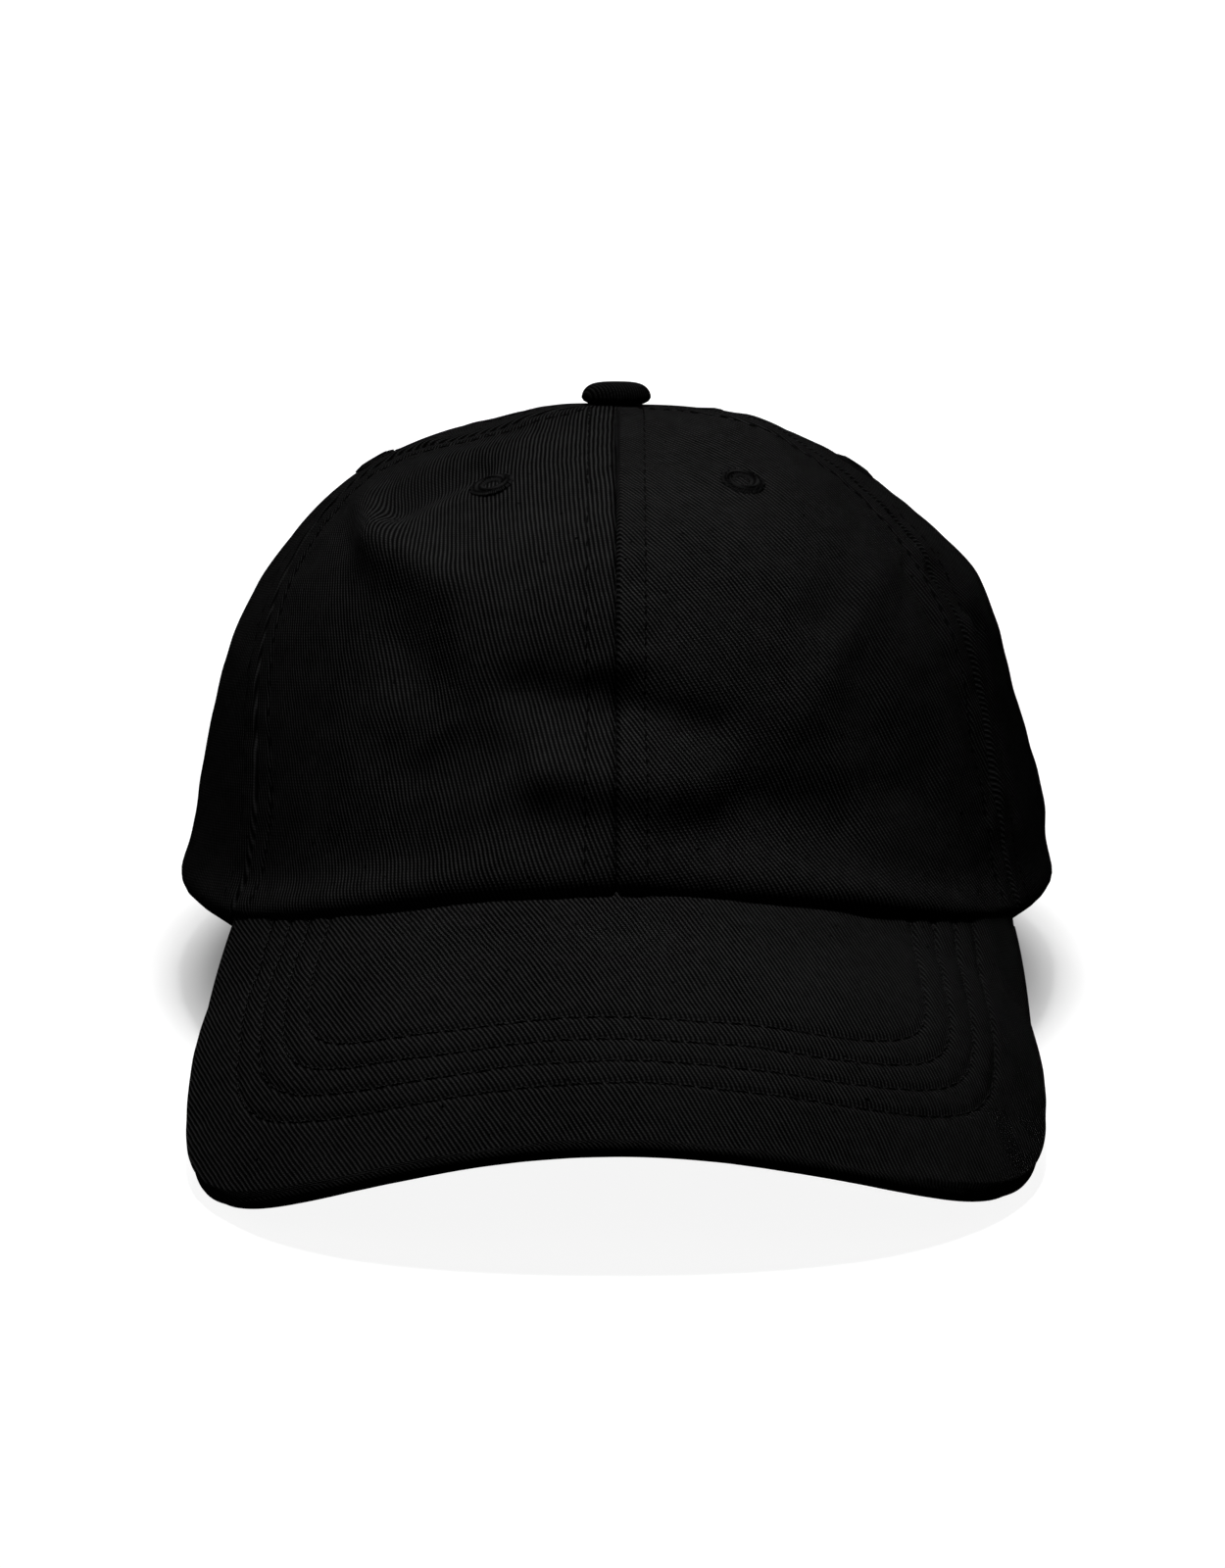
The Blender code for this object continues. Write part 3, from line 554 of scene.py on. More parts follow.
# ---- Materials ----
class Nodes:
    """Short hand for building a material's node tree."""

    def __init__(self, name):
        self.material = bpy.data.materials.new(name)
        self.material.use_nodes = True
        self.tree = self.material.node_tree
        self.shader = self.tree.nodes["Principled BSDF"]

    def add(self, kind, **values):
        """A node with settings."""
        node = self.tree.nodes.new(kind)
        for key, value in values.items():
            setattr(node, key, value)
        return node

    def link(self, source, target):
        """Connect an output, or set a constant."""
        if isinstance(source, (int, float)):
            target.default_value = source
        else:
            self.tree.links.new(source, target)

    def math(self, operation, first, second=0.0, third=0.0, clamp=False):
        """One sum, and its output."""
        node = self.add("ShaderNodeMath", operation=operation, use_clamp=clamp)
        self.link(first, node.inputs[0])
        self.link(second, node.inputs[1])
        self.link(third, node.inputs[2])
        return node.outputs[0]

    def wave(self, phase):
        """Wave from 0 to 1."""
        return self.math("MULTIPLY_ADD", self.math("SINE", phase), 0.5, 0.5)

    def noise(self, vector, scale, detail=2.0, roughness=0.5):
        """Noise from 0 to 1."""
        node = self.add("ShaderNodeTexNoise")
        self.link(vector, node.inputs["Vector"])
        node.inputs["Scale"].default_value = scale
        node.inputs["Detail"].default_value = detail
        node.inputs["Roughness"].default_value = roughness
        return node.outputs["Fac"]

    def ramp(self, value, low, high):
        """Value stretched so that low becomes 0 and high becomes 1."""
        node = self.add("ShaderNodeMapRange")
        self.link(value, node.inputs["Value"])
        node.inputs["From Min"].default_value = low
        node.inputs["From Max"].default_value = high
        return node.outputs["Result"]

    def mix(self, share, first, second):
        """Colour between two colours."""
        node = self.add("ShaderNodeMix", data_type="RGBA")
        self.link(share, node.inputs["Factor"])
        for source, target in ((first, node.inputs["A"]), (second, node.inputs["B"])):
            if isinstance(source, tuple):
                target.default_value = (*source, 1.0)
            else:
                self.link(source, target)
        return node.outputs["Result"]

    def bump(self, height, distance, strength=1.0):
        """Bump from a height of 0 to 1."""
        node = self.add("ShaderNodeBump")
        node.inputs["Strength"].default_value = strength
        node.inputs["Distance"].default_value = distance
        self.link(height, node.inputs["Height"])
        return node.outputs["Normal"]

    def surface(self, colour, roughness, normal, **constants):
        """Feed the shader; constants are set on its own sockets, with _ for a space in their names."""
        for label, source in (("Base Color", colour), ("Roughness", roughness), ("Normal", normal)):
            self.link(source, self.shader.inputs[label])
        for label, value in constants.items():
            self.shader.inputs[label.replace("_", " ")].default_value = value
        return self.material

    def attribute(self, name):
        """A mesh attribute as a vector and its three parts."""
        node = self.add("ShaderNodeAttribute", attribute_name=name)
        parts = self.add("ShaderNodeSeparateXYZ")
        self.link(node.outputs["Vector"], parts.inputs[0])
        return node.outputs["Vector"], parts.outputs


def grey(level):
    """A grey colour."""
    return (level, level, level)


def twill_material(name, dark, light, pitch=TWILL_PITCH, bump=TWILL_BUMP):
    """Cotton twill: steep diagonal ridges with small nicks where the yarns cross, and some lint; the ridge
    tops carry a painted highlight and the gaps a painted shade.
    """
    nodes = Nodes(name)
    vector, (u, v, _) = nodes.attribute("cloth")
    steep, flat = TWILL_STEEP / pitch, TWILL_FLAT / pitch
    sway = nodes.math("MULTIPLY", nodes.math("SUBTRACT", nodes.noise(vector, 110.0, 2.0), 0.5), 0.7)
    across = nodes.math("ADD", nodes.math("MULTIPLY", u, steep), nodes.math("MULTIPLY", v, flat))
    phase = nodes.math("ADD", across, sway)
    ridge = nodes.wave(nodes.math("MULTIPLY", phase, 2 * pi))
    along = nodes.math("SUBTRACT", nodes.math("MULTIPLY", v, steep), nodes.math("MULTIPLY", u, flat))
    yarn = nodes.math("ADD", nodes.math("MULTIPLY", along, 1.35), nodes.math("MULTIPLY", phase, 0.5))
    nick = nodes.wave(nodes.math("MULTIPLY", yarn, 2 * pi))
    slub = nodes.noise(vector, 420.0, 3.0, 0.6)
    height = nodes.math("MULTIPLY_ADD", nodes.math("MULTIPLY", ridge, nick), 0.30,
                        nodes.math("MULTIPLY", ridge, 0.62))
    height = nodes.math("MULTIPLY_ADD", slub, 0.35, height)
    patch = nodes.ramp(nodes.noise(vector, 38.0, 4.0, 0.6), 0.3, 0.75)
    # Painted highlight and shade: the colour runs from the dark gaps between the yarns, painted as shade, to
    # the ridge tops, painted lighter as highlight, over the bump.
    painted_ridge_light = nodes.math("POWER", nodes.math("MULTIPLY", height, 0.95, clamp=True), 2.3)
    tone = nodes.math("MULTIPLY_ADD", patch, 0.10, nodes.math("MULTIPLY", painted_ridge_light, 0.95), clamp=True)
    colour = nodes.mix(tone, grey(dark), grey(light))
    speck = nodes.ramp(nodes.noise(vector, 700.0, 1.0, 0.5), 0.70, 0.76)
    where = nodes.ramp(nodes.noise(vector, 30.0, 1.0, 0.5), 0.42, 0.60)
    fluff = nodes.math("MULTIPLY", speck, where, clamp=True)
    colour = nodes.mix(fluff, colour, grey(0.25 * dark))
    rough = nodes.math("MULTIPLY_ADD", ridge, -0.12, 0.92)
    return nodes.surface(colour, rough, nodes.bump(height, bump), Specular_IOR_Level=0.0)


def thread_material(name, dark, light):
    """Twisted sewing thread."""
    nodes = Nodes(name)
    run, turn, _ = nodes.attribute("cloth")[1]
    twist = nodes.math("ADD", nodes.math("MULTIPLY", run, 2 * pi / 0.0009), nodes.math("MULTIPLY", turn, 2.0))
    ply = nodes.wave(twist)
    return nodes.surface(nodes.mix(ply, grey(dark), grey(light)), nodes.math("MULTIPLY_ADD", ply, -0.15, 0.6),
                         nodes.bump(ply, 0.00004), Specular_IOR_Level=0.0)


def plain_weave_material(name, dark, light, pitch, bump, level=0.0):
    """Plain woven tape or cotton: over and under in both directions."""
    nodes = Nodes(name)
    vector, (u, v, _) = nodes.attribute("cloth")
    warp = nodes.math("SINE", nodes.math("MULTIPLY", u, pi / pitch))
    weft = nodes.math("SINE", nodes.math("MULTIPLY", v, pi / pitch))
    check = nodes.math("MULTIPLY_ADD", nodes.math("MULTIPLY", warp, weft), 0.5, 0.5)
    slub = nodes.noise(vector, 500.0, 3.0, 0.6)
    height = nodes.math("MULTIPLY_ADD", slub, 0.4, nodes.math("MULTIPLY", check, 0.6))
    return nodes.surface(nodes.mix(height, dark, light), nodes.math("MULTIPLY_ADD", check, -0.1, 0.9),
                         nodes.bump(height, bump), Specular_IOR_Level=level)


def metal_material(name, worn, dull, roughness):
    """Aged metal: brighter where it is rubbed, duller and rougher in patches."""
    nodes = Nodes(name)
    place = nodes.add("ShaderNodeTexCoord").outputs["Object"]
    patina = nodes.ramp(nodes.noise(place, 260.0, 5.0, 0.65), 0.35, 0.68)
    scratch = nodes.noise(place, 1800.0, 2.0, 0.7)
    return nodes.surface(nodes.mix(patina, worn, dull), nodes.math("MULTIPLY_ADD", patina, 0.25, roughness),
                         nodes.bump(scratch, 0.00003, 0.5), Metallic=1.0)


def board_material():
    """Moulded plastic board with a faint grain."""
    nodes = Nodes("visor_board_plastic")
    place = nodes.add("ShaderNodeTexCoord").outputs["Object"]
    grain = nodes.noise(place, 900.0, 3.0, 0.6)
    return nodes.surface(nodes.mix(grain, (0.52, 0.52, 0.50), (0.64, 0.64, 0.61)),
                         nodes.math("MULTIPLY_ADD", grain, 0.2, 0.45), nodes.bump(grain, 0.00005))


# Each twill's lighter colour is the painted highlight on its ridge tops, and its darker colour is the painted
# shade in the gaps over the cloth's own black.
TWILL = twill_material("black_twill", 0.0003, 0.0240)
BUTTON_CLOTH = twill_material("black_twill_button", 0.0012, 0.0140, 0.0006, 0.00008)
THREAD = thread_material("black_thread", 0.0004, 0.0055)
# Painted glint: the visor's stitches are the same black thread as the crown's, with a lighter ply colour
# painted in for the glints of the top light.
VISOR_THREAD = thread_material("black_visor_thread", 0.0006, 0.0200)
EYELET_THREAD = thread_material("black_eyelet_thread", 0.0007, 0.0120)
TAPE = plain_weave_material("black_tape", (0.0030, 0.0030, 0.0032), (0.0110, 0.0110, 0.0115), 0.0006, 0.0001)
SWEAT = plain_weave_material("sweatband_cotton", (0.0030, 0.0030, 0.0033), (0.0100, 0.0100, 0.0105),
                             0.0005, 0.00008)
LABEL = plain_weave_material("label_satin", (0.42, 0.42, 0.40), (0.62, 0.62, 0.60), 0.00035, 0.00004, 0.4)
BRASS = metal_material("antique_brass", (0.42, 0.30, 0.15), (0.16, 0.11, 0.06), 0.30)
STEEL = metal_material("button_steel", (0.55, 0.55, 0.56), (0.35, 0.35, 0.36), 0.30)


def cloth_places(across, along, layer=0.0):
    """Where each point lies on the flat cloth; layer keeps the weave of one piece apart from another's."""
    return np.stack(np.broadcast_arrays(across, along, np.float64(layer)), -1)


def place(piece, slot, *nodes, body="cap"):
    """Ride on a body and stand for CAD nodes; the slot is not used."""
    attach(piece, body)
    if nodes:
        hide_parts(*nodes)
    return piece


# ---- Crown pieces ----
PANELS = (("front_panel_right", -1, 0), ("front_panel_left", 0, 1), ("side_panel_left", 1, 2),
          ("back_panel_left", 2, 3), ("back_panel_right", -3, -2), ("side_panel_right", -2, -1))
PANEL_COLUMNS = 91
PANEL_ROWS = 121


def eased(count, ease=0.75):
    """Numbers from 0 to 1, closer together near both ends."""
    even = np.linspace(0, 1, count)
    return (1 - ease) * even + ease * (0.5 - 0.5 * np.cos(pi * even))


def panel_shares(first, last):
    """Column places across a panel, closer near the seams and, at the back, round the arch's foot."""
    shares = eased(PANEL_COLUMNS)
    if max(abs(first), abs(last)) == 3:
        foot = 1 - (ARCH_HALF_WIDTH / CROWN_HALF_WIDTH) / (pi / 3)
        inner = foot + (1 - foot) * (1 - np.cos(np.linspace(0, pi / 2, 46)))
        outer = foot * eased(46)
        shares = np.unique(np.round(np.concatenate((outer, inner)), 9))
        if first == -3:
            shares = (1 - shares)[::-1]
    return shares


def make_panel(name, first, last):
    """One crown panel, from the hem to the hole under the button, with its edges rolled into the seams."""
    shares = panel_shares(first, last)
    top = float(climb(height_at_radius(TOP_HOLE_RADIUS)))
    nominal = (first + (last - first) * shares) * pi / 3
    low = climb(np.maximum(hem_height(nominal), arch_height(nominal)))
    rows = np.linspace(0, 1, PANEL_ROWS)[:, None]
    heights = height_at(low + (top - low) * rows)
    start = seam_turn(first, heights)
    end = seam_turn(last, heights)
    turns = start + (end - start) * shares
    margin = SEAM_GAP / girth_radius(heights, 0.02)
    turns = np.clip(turns, start + margin, end - margin)
    outer = crown_point(turns, heights, 0.0, skin=1.0)
    inner = crown_point(turns, heights, PANEL_THICKNESS, skin=0.5)
    middle = (first + last) * pi / 6
    across = wrapped(turns - middle) * girth_radius(heights)
    cloth = cloth_places(across, climb(heights), first * 0.37)
    panel = cloth_slab(name + "_cloth", outer, inner, cloth, TWILL)
    place(panel, "black_twill", name)


def crown_run(turns, heights):
    """Line on the outer cloth and its normals, for a row of stitches."""
    return crown_point(turns, heights, 0.0, skin=1.0), surface_normal(turns, heights)


def make_crown_stitches():
    """Twin rows beside every crown seam, and rows round the back opening."""
    threads = Threads(5)
    for number in (-2, -1, 0, 1, 2, 3):
        low = 0.055 if number == 3 else float(hem_height(number * pi / 3)) + 0.0065
        heights = height_at(np.linspace(climb(low), climb(height_at_radius(0.0085)), 160))
        girth = girth_radius(heights)
        for side in (-1, 1):
            turns = seam_turn(number, heights) + side * np.minimum(SEAM_BAND, 0.55 * girth) / girth
            threads.sew(*crown_run(turns, heights))
    for offset in (0.0020, 0.0075):
        angles = np.linspace(0.02, pi - 0.02, 200)
        turns = pi - (ARCH_HALF_WIDTH + offset) * np.cos(angles) / CROWN_HALF_WIDTH
        threads.sew(*crown_run(turns, (ARCH_HEIGHT + offset) * np.sin(angles)))
    place(threads.make("crown_stitches", THREAD), "black_thread")


def make_eyelet(name, turn, seed):
    """Embroidered eyelet: a ring of thread wound radially round a small hole."""
    threads = Threads(seed)
    centre = crown_point(turn, EYELET_HEIGHT, 0.0)
    outward = surface_normal(np.array([turn]), np.array([EYELET_HEIGHT]), 0.0)[0]
    along = unit(np.cross(np.array((0, 0, 1.0)), outward))
    upward = np.cross(outward, along)
    stray = threads.random.uniform(-0.18, 0.18, EYELET_LOOPS)
    angles = 2 * pi * (np.arange(EYELET_LOOPS) + stray) / EYELET_LOOPS
    reach = EYELET_RADIUS + threads.random.uniform(-0.00022, 0.00022, EYELET_LOOPS)
    steps = np.linspace(0, 1, 9)
    ring = EYELET_HOLE + (reach[:, None] - EYELET_HOLE) * steps[None, :]
    lift = EYELET_LIFT * np.sin(pi * (0.12 + 0.88 * steps)) ** 0.8 - 0.0009 * (1 - steps) ** 6 - 0.00015
    radial = np.cos(angles)[:, None] * along + np.sin(angles)[:, None] * upward
    lift = lift[None, :] + threads.random.uniform(-0.00006, 0.00006, (EYELET_LOOPS, 1))
    centres = centre + radial[:, None, :] * ring[..., None] + outward * lift[..., None]
    threads.tubes(centres, np.broadcast_to(outward, centres.shape), 0.00024, np.full(9, 1.0))
    steps = np.linspace(0, 2 * pi, 40)[:, None]
    core = centre + (np.cos(steps) * along + np.sin(steps) * upward) * EYELET_CORE + outward * 0.0001
    threads.tubes(core[None], np.broadcast_to(outward, core[None].shape), 0.00055, np.ones(40), sides=8)
    place(threads.make(name + "_thread", EYELET_THREAD), "black_thread", name)


def side_tape(name, turns, heights):
    """Tape under the crown over a grid of turns and heights."""
    outer = crown_point(turns, heights, SIDE_TAPE_DEPTH)
    inner = crown_point(turns, heights, SIDE_TAPE_DEPTH + TAPE_THICKNESS)
    across = wrapped(turns - turns[:, :1]) * girth_radius(heights)
    cloth = cloth_places(across, climb(heights))
    return place(cloth_slab(name + "_weave", outer, inner, cloth, TAPE), "black_tape", name)


def make_side_tapes():
    """Tapes over the four side seams inside."""
    for name, number in (("front_tape_right", -1), ("front_tape_left", 1),
                         ("rear_tape_right", -2), ("rear_tape_left", 2)):
        low = float(hem_height(number * pi / 3)) + 0.002
        heights = height_at(np.linspace(climb(low), climb(height_at_radius(0.014)), 90))[:, None]
        half = TAPE_HALF_WIDTH / girth_radius(heights)
        turns = seam_turn(number, heights) + half * np.linspace(-1, 1, 13)[None, :]
        tape = side_tape(name, turns, heights + np.zeros_like(turns))


def crown_over(x, y, depth):
    """Point at a depth under the crown, straight below a place in plan."""
    reach = np.where(y < 0, CROWN_FRONT_LENGTH, CROWN_HALF_WIDTH)
    height = height_at_radius(CROWN_HALF_WIDTH * np.hypot(x / CROWN_HALF_WIDTH, y / reach))
    return crown_point(np.arctan2(x / CROWN_HALF_WIDTH, -y / reach), height, depth)


def make_centre_tape():
    """Long tape over the centre seam, from the front hem over the top to the back opening."""
    ends = ((0.0, hem_height(0.0) + 0.002, 90), (pi, ARCH_HEIGHT + FACING_WIDTH + 0.001, 50))
    front, rear = (crown_face(turn, height_at(np.linspace(climb(low), PROFILE_LENGTH * 0.995, count)))[:, 1]
                   for turn, low, count in ends)
    x, y = np.meshgrid(np.linspace(-TAPE_HALF_WIDTH, TAPE_HALF_WIDTH, 13),
                       np.concatenate((front, rear[::-1])))
    outer = crown_over(x, y, CENTRE_TAPE_DEPTH)
    inner = crown_over(x, y, CENTRE_TAPE_DEPTH + TAPE_THICKNESS)
    cloth = cloth_places(x, run_lengths(outer[:, 6])[:, None])
    tape = cloth_slab("centre_seam_tape_weave", outer, inner, cloth, TAPE)
    place(tape, "black_tape", "centre_seam_tape")


def make_arch_facing():
    """Facing tape inside the back opening's edge."""
    angles = np.linspace(FACING_START, pi - FACING_START, 80)[None, :]
    offset = np.linspace(0.0006, FACING_WIDTH, 9)[:, None]
    turns = pi - (ARCH_HALF_WIDTH + offset) * np.cos(angles) / CROWN_HALF_WIDTH
    heights = (ARCH_HEIGHT + offset) * np.sin(angles)
    outer = crown_point(turns, heights, TAPE_DEPTH, 0.0, 0.0)
    inner = crown_point(turns, heights, TAPE_DEPTH + TAPE_THICKNESS, 0.0, 0.0)
    cloth = cloth_places(angles * FACING_RADIUS, offset)
    facing = cloth_slab("arch_facing_weave", outer, inner, cloth, TAPE)
    place(facing, "black_tape", "arch_facing")


def make_sweatband():
    """Folded cotton sweatband with a stitch row near each edge."""
    end = pi - SWEATBAND_END / CROWN_HALF_WIDTH
    turns, share = np.meshgrid(np.linspace(-end, end, 420), np.linspace(0, 1, 30))
    heights = hem_height(turns) + 0.0006 + share * SWEATBAND_HEIGHT
    ripple = 0.00020 * np.maximum(0, 0.6 + waves(crown_face(turns, heights), 31, 10, 0.03, 0.012))
    roll = 0.0008 * smooth_step((share - 0.93) / 0.07)
    outer = crown_point(turns, heights, SWEATBAND_DEPTH + ripple, 0.0, 1.0, SWEATBAND_TUCK)
    inner = crown_point(turns, heights, SWEATBAND_DEPTH + SWEATBAND_THICKNESS + ripple + roll, 0.0, 1.0,
                        SWEATBAND_TUCK)
    cloth = cloth_places(turns * CROWN_HALF_WIDTH, heights)
    band = cloth_slab("sweatband_cotton_band", outer, inner, cloth, SWEAT)
    place(band, "sweatband_cloth", "sweatband")
    threads = Threads(8)
    for share in (0.05, 0.90):
        line = np.linspace(-end + 0.02, end - 0.02, 500)
        heights = hem_height(line) + 0.0006 + share * SWEATBAND_HEIGHT
        depth = SWEATBAND_DEPTH + SWEATBAND_THICKNESS + 0.0002
        path = crown_point(line, heights, depth, 0.0, 1.0, SWEATBAND_TUCK)
        threads.sew(path, -crown_normal(line, heights))
    place(threads.make("sweatband_stitches", THREAD), "black_thread")


def make_label():
    """Blank woven label sewn flat on the sweatband."""
    turns, heights = np.meshgrid(np.linspace(*LABEL_TURNS, 24), np.linspace(*LABEL_HEIGHTS, 16))
    outer = crown_point(turns, heights, LABEL_DEPTH, 0.0, 1.0, SWEATBAND_TUCK)
    inner = crown_point(turns, heights, LABEL_DEPTH + LABEL_THICKNESS, 0.0, 1.0, SWEATBAND_TUCK)
    cloth = cloth_places(turns * CROWN_HALF_WIDTH, heights)
    label = cloth_slab("blank_label_weave", outer, inner, cloth, LABEL)
    place(label, "label_cloth", "blank_label")


# ---- Button ----
def turned(name, profile, material, centre, segments=64, pleats=0.0):
    """Surface of revolution about the rim frame's Z, with optional gathered pleats low on its side."""
    profile = np.array(profile)
    angles = 2 * pi * np.arange(segments) / segments
    radius = profile[:, 0, None] * np.ones(segments)
    height = profile[:, 1, None] * np.ones(segments)
    low = np.clip(1 - profile[:, 1, None] / 0.0026, 0, 1)
    radius = radius * (1 + pleats * low * np.sin(angles * 17 + 1.3 * np.sin(angles * 3)))
    cloth = np.stack((radius * np.cos(angles), radius * np.sin(angles), height), -1).reshape(-1, 3)
    rows = len(profile)
    index = np.arange(rows * segments).reshape(rows, segments)
    following = np.roll(index, -1, axis=1)
    faces = np.stack((index[:-1], following[:-1], following[1:], index[1:]), -1).reshape(-1, 4).tolist()
    faces += [index[0, ::-1].tolist(), index[-1].tolist()]
    return mesh_object(name, cloth + centre, faces, cloth, material)


def make_button():
    """Cloth-covered button on top, on its metal core, with the washer inside."""
    angles = np.linspace(0, pi / 2, 16)
    dome = [(0.0, -0.0002), (0.0042, -0.0002), (0.0058, 0.0000), (0.0068, 0.0005), (0.0073, 0.0012)]
    dome += [(0.0073 * cos(a) ** 0.50, 0.0016 + 0.0030 * sin(a) ** 1.1) for a in angles[:-1]]
    dome[0] = (0.0001, -0.0002)
    dome.append((0.0001, 0.0046))
    top = np.array((0.0, 0.0, CROWN_HEIGHT))
    cover = turned("button_cover_cloth", dome[::-1], BUTTON_CLOTH, top, pleats=0.035)
    place(cover, "black_twill", "button_cover", "button_core")
    washer = [(0.0019, -0.0034), (0.0052, -0.0034), (0.0057, -0.0031), (0.0057, -0.0027),
              (0.0052, -0.0025), (0.0019, -0.0025), (0.0019, -0.0034)]
    ring = [(0.0001, -0.0040), (0.0013, -0.0040), (0.0021, -0.0037), (0.0023, -0.0034)]
    place(turned("button_rivet", ring + [(0.0052, -0.0034)] + washer[2:5] + [(0.0001, -0.0025)], STEEL, top),
          "button_steel", "button_washer")


# ---- Visor ----
def visor_point(across, along, depth):
    """Point in the visor: arc length from its centre line, distance forward, depth under its top."""
    across, along, depth = np.broadcast_arrays(across, along, depth)
    bend = across / VISOR_BEND_RADIUS
    radius = VISOR_BEND_RADIUS - depth
    drop = VISOR_BEND_RADIUS - radius * np.cos(bend)
    y = -VISOR_SEAM_FORWARD - along * cos(VISOR_SLOPE) + drop * sin(VISOR_SLOPE)
    z = VISOR_SEAM_HEIGHT - along * sin(VISOR_SLOPE) - drop * cos(VISOR_SLOPE)
    return np.stack((radius * np.sin(bend), y, z), -1)


def visor_up(across):
    """Upward normal of the visor at a distance from its centre line."""
    bend = np.asarray(across) / VISOR_BEND_RADIUS
    return np.stack((np.sin(bend), -sin(VISOR_SLOPE) * np.cos(bend), cos(VISOR_SLOPE) * np.cos(bend)), -1)


def seam_along(across, depth, inside):
    """How far forward a visor layer meets the crown's smooth outer face, moved in by a distance."""
    behind = np.full(np.shape(across), -0.07)
    ahead = np.full(np.shape(across), 0.02)
    for _ in range(30):
        middle = (behind + ahead) / 2
        x, y, z = np.moveaxis(visor_point(across, middle, depth), -1, 0)
        reach = np.hypot(x / CROWN_HALF_WIDTH, y / CROWN_FRONT_LENGTH)
        within = (y > 0) | (reach < crown_scale(np.maximum(z, 0)) * (1 - inside / CROWN_HALF_WIDTH))
        behind = np.where(within, middle, behind)
        ahead = np.where(within, ahead, middle)
    return ahead


def visor_half(side, inset):
    """Flat outline of one half of the visor, from its horn to the middle of the front edge."""
    back = (VISOR_WIDEST_ALONG - np.linspace(VISOR_HORN, VISOR_WIDEST_ALONG, 30)) / VISOR_TAPER_LENGTH
    width = VISOR_HALF_WIDTH - inset
    length = VISOR_LENGTH - inset - VISOR_WIDEST_ALONG
    angles = np.linspace(0, pi / 2, 160)[1:]
    power = 2 / VISOR_CORNER_POWERS[side]
    taper, bow = VISOR_SIDE_TAPERS[side]
    across = np.concatenate((width - taper * back ** bow, width * np.cos(angles) ** power))
    along = np.concatenate((VISOR_WIDEST_ALONG - back * VISOR_TAPER_LENGTH,
                            VISOR_WIDEST_ALONG + length * np.sin(angles) ** power))
    return np.stack((side * across, along), -1)


def visor_outline(inset, count):
    """Visor's outer edge, from the left horn round the front to the right one, in flat coordinates."""
    halves = visor_half(1, inset)[:-1], visor_half(-1, inset)[::-1]
    return resample(np.concatenate(halves), count)


def visor_flat(inset, depth, rows):
    """Flat coordinates over the visor, from under the crown to the outer edge."""
    outer = visor_outline(inset, VISOR_COLUMNS)
    across = np.linspace(outer[0, 0] - 0.0006, outer[-1, 0] + 0.0006, 200)
    inner = resample(np.stack((across, seam_along(across, depth, SEAM_UNDERLAP)), -1), VISOR_COLUMNS)
    share = rows[:, None, None]
    return inner + (outer - inner) * share


def visor_relief(across, along):
    """Slight unevenness of the visor's cloth."""
    points = np.stack((across, along, 0 * across), -1)
    return 0.00022 * waves(points, 41, 10, 0.05, 0.02) + 0.00006 * waves(points, 42, 12, 0.012, 0.006)


def visor_camber(along):
    """The top cover stands slightly proud of its board between the crown and the front edge."""
    share = np.clip((along + 0.006) / (VISOR_LENGTH + 0.004), 0, 1)
    return 0.0042 * (1 - np.exp(-share / 0.35)) * (1 - share ** 1.5)


def line_distance(across, along, line):
    """Distance on the flat visor from each place to the nearest point of a line."""
    flat = np.stack((across, along), -1).reshape(-1, 2)
    nearest = np.empty(len(flat))
    for start in range(0, len(flat), 4000):
        block = flat[start:start + 4000]
        nearest[start:start + 4000] = np.linalg.norm(block[:, None] - line[None], axis=2).min(axis=1)
    return nearest.reshape(np.shape(across))


def visor_row(number, count=500):
    """Flat line of one stitch row: inset from the edge, squarer at its corners."""
    inset = VISOR_ROW_INSET + number * VISOR_ROW_STEP
    line = visor_outline(inset, count)
    keep = line[:, 1] > seam_along(line[:, 0], 0.0, 0.001)
    return line[keep]


def visor_edge_roll(inset, top, bottom):
    """Rows of points that carry a visor layer round its outer edge, from one depth to another."""
    edge = []
    for angle in np.linspace(0, pi, 9)[1:]:
        line = visor_flat(VISOR_EDGE_ROLL * (1 - sin(angle)) + inset, 0.0, np.array([1.0]))[0]
        depth = top + (bottom - top) * (1 - cos(angle)) / 2
        edge.append(visor_point(line[:, 0], line[:, 1], np.full(len(line), depth)))
    return np.array(edge)


def make_visor_top(rows):
    """Top cover of the visor, rolled round the edge and pulled in along its stitch rows."""
    flat = visor_flat(VISOR_EDGE_ROLL, 0.0, rows)
    across, along = flat[..., 0], flat[..., 1]
    relief = visor_relief(across, along) + row_grooves_at(across, along) + visor_camber(along)
    top = visor_point(across, along, 0 * across - relief)
    shell = np.concatenate((top, visor_edge_roll(0.0, 0.0, 0.0026)))
    under_rows = visor_flat(0.0022, 0.0011, rows)
    lining = visor_point(under_rows[..., 0], under_rows[..., 1], VISOR_LINING_DEPTH)
    lining = np.concatenate((lining, visor_edge_roll(0.0007, VISOR_LINING_DEPTH, 0.0017)))
    cloth_flat = np.concatenate((flat, visor_flat(0.0, 0.0, 1 + np.linspace(0.01, 0.08, 8))))
    cloth = cloth_places(cloth_flat[..., 0], -cloth_flat[..., 1], 5.0)
    cover = cloth_slab("visor_top_cloth", shell, lining, cloth, TWILL)
    place(cover, "black_twill", "visor_top_cover")


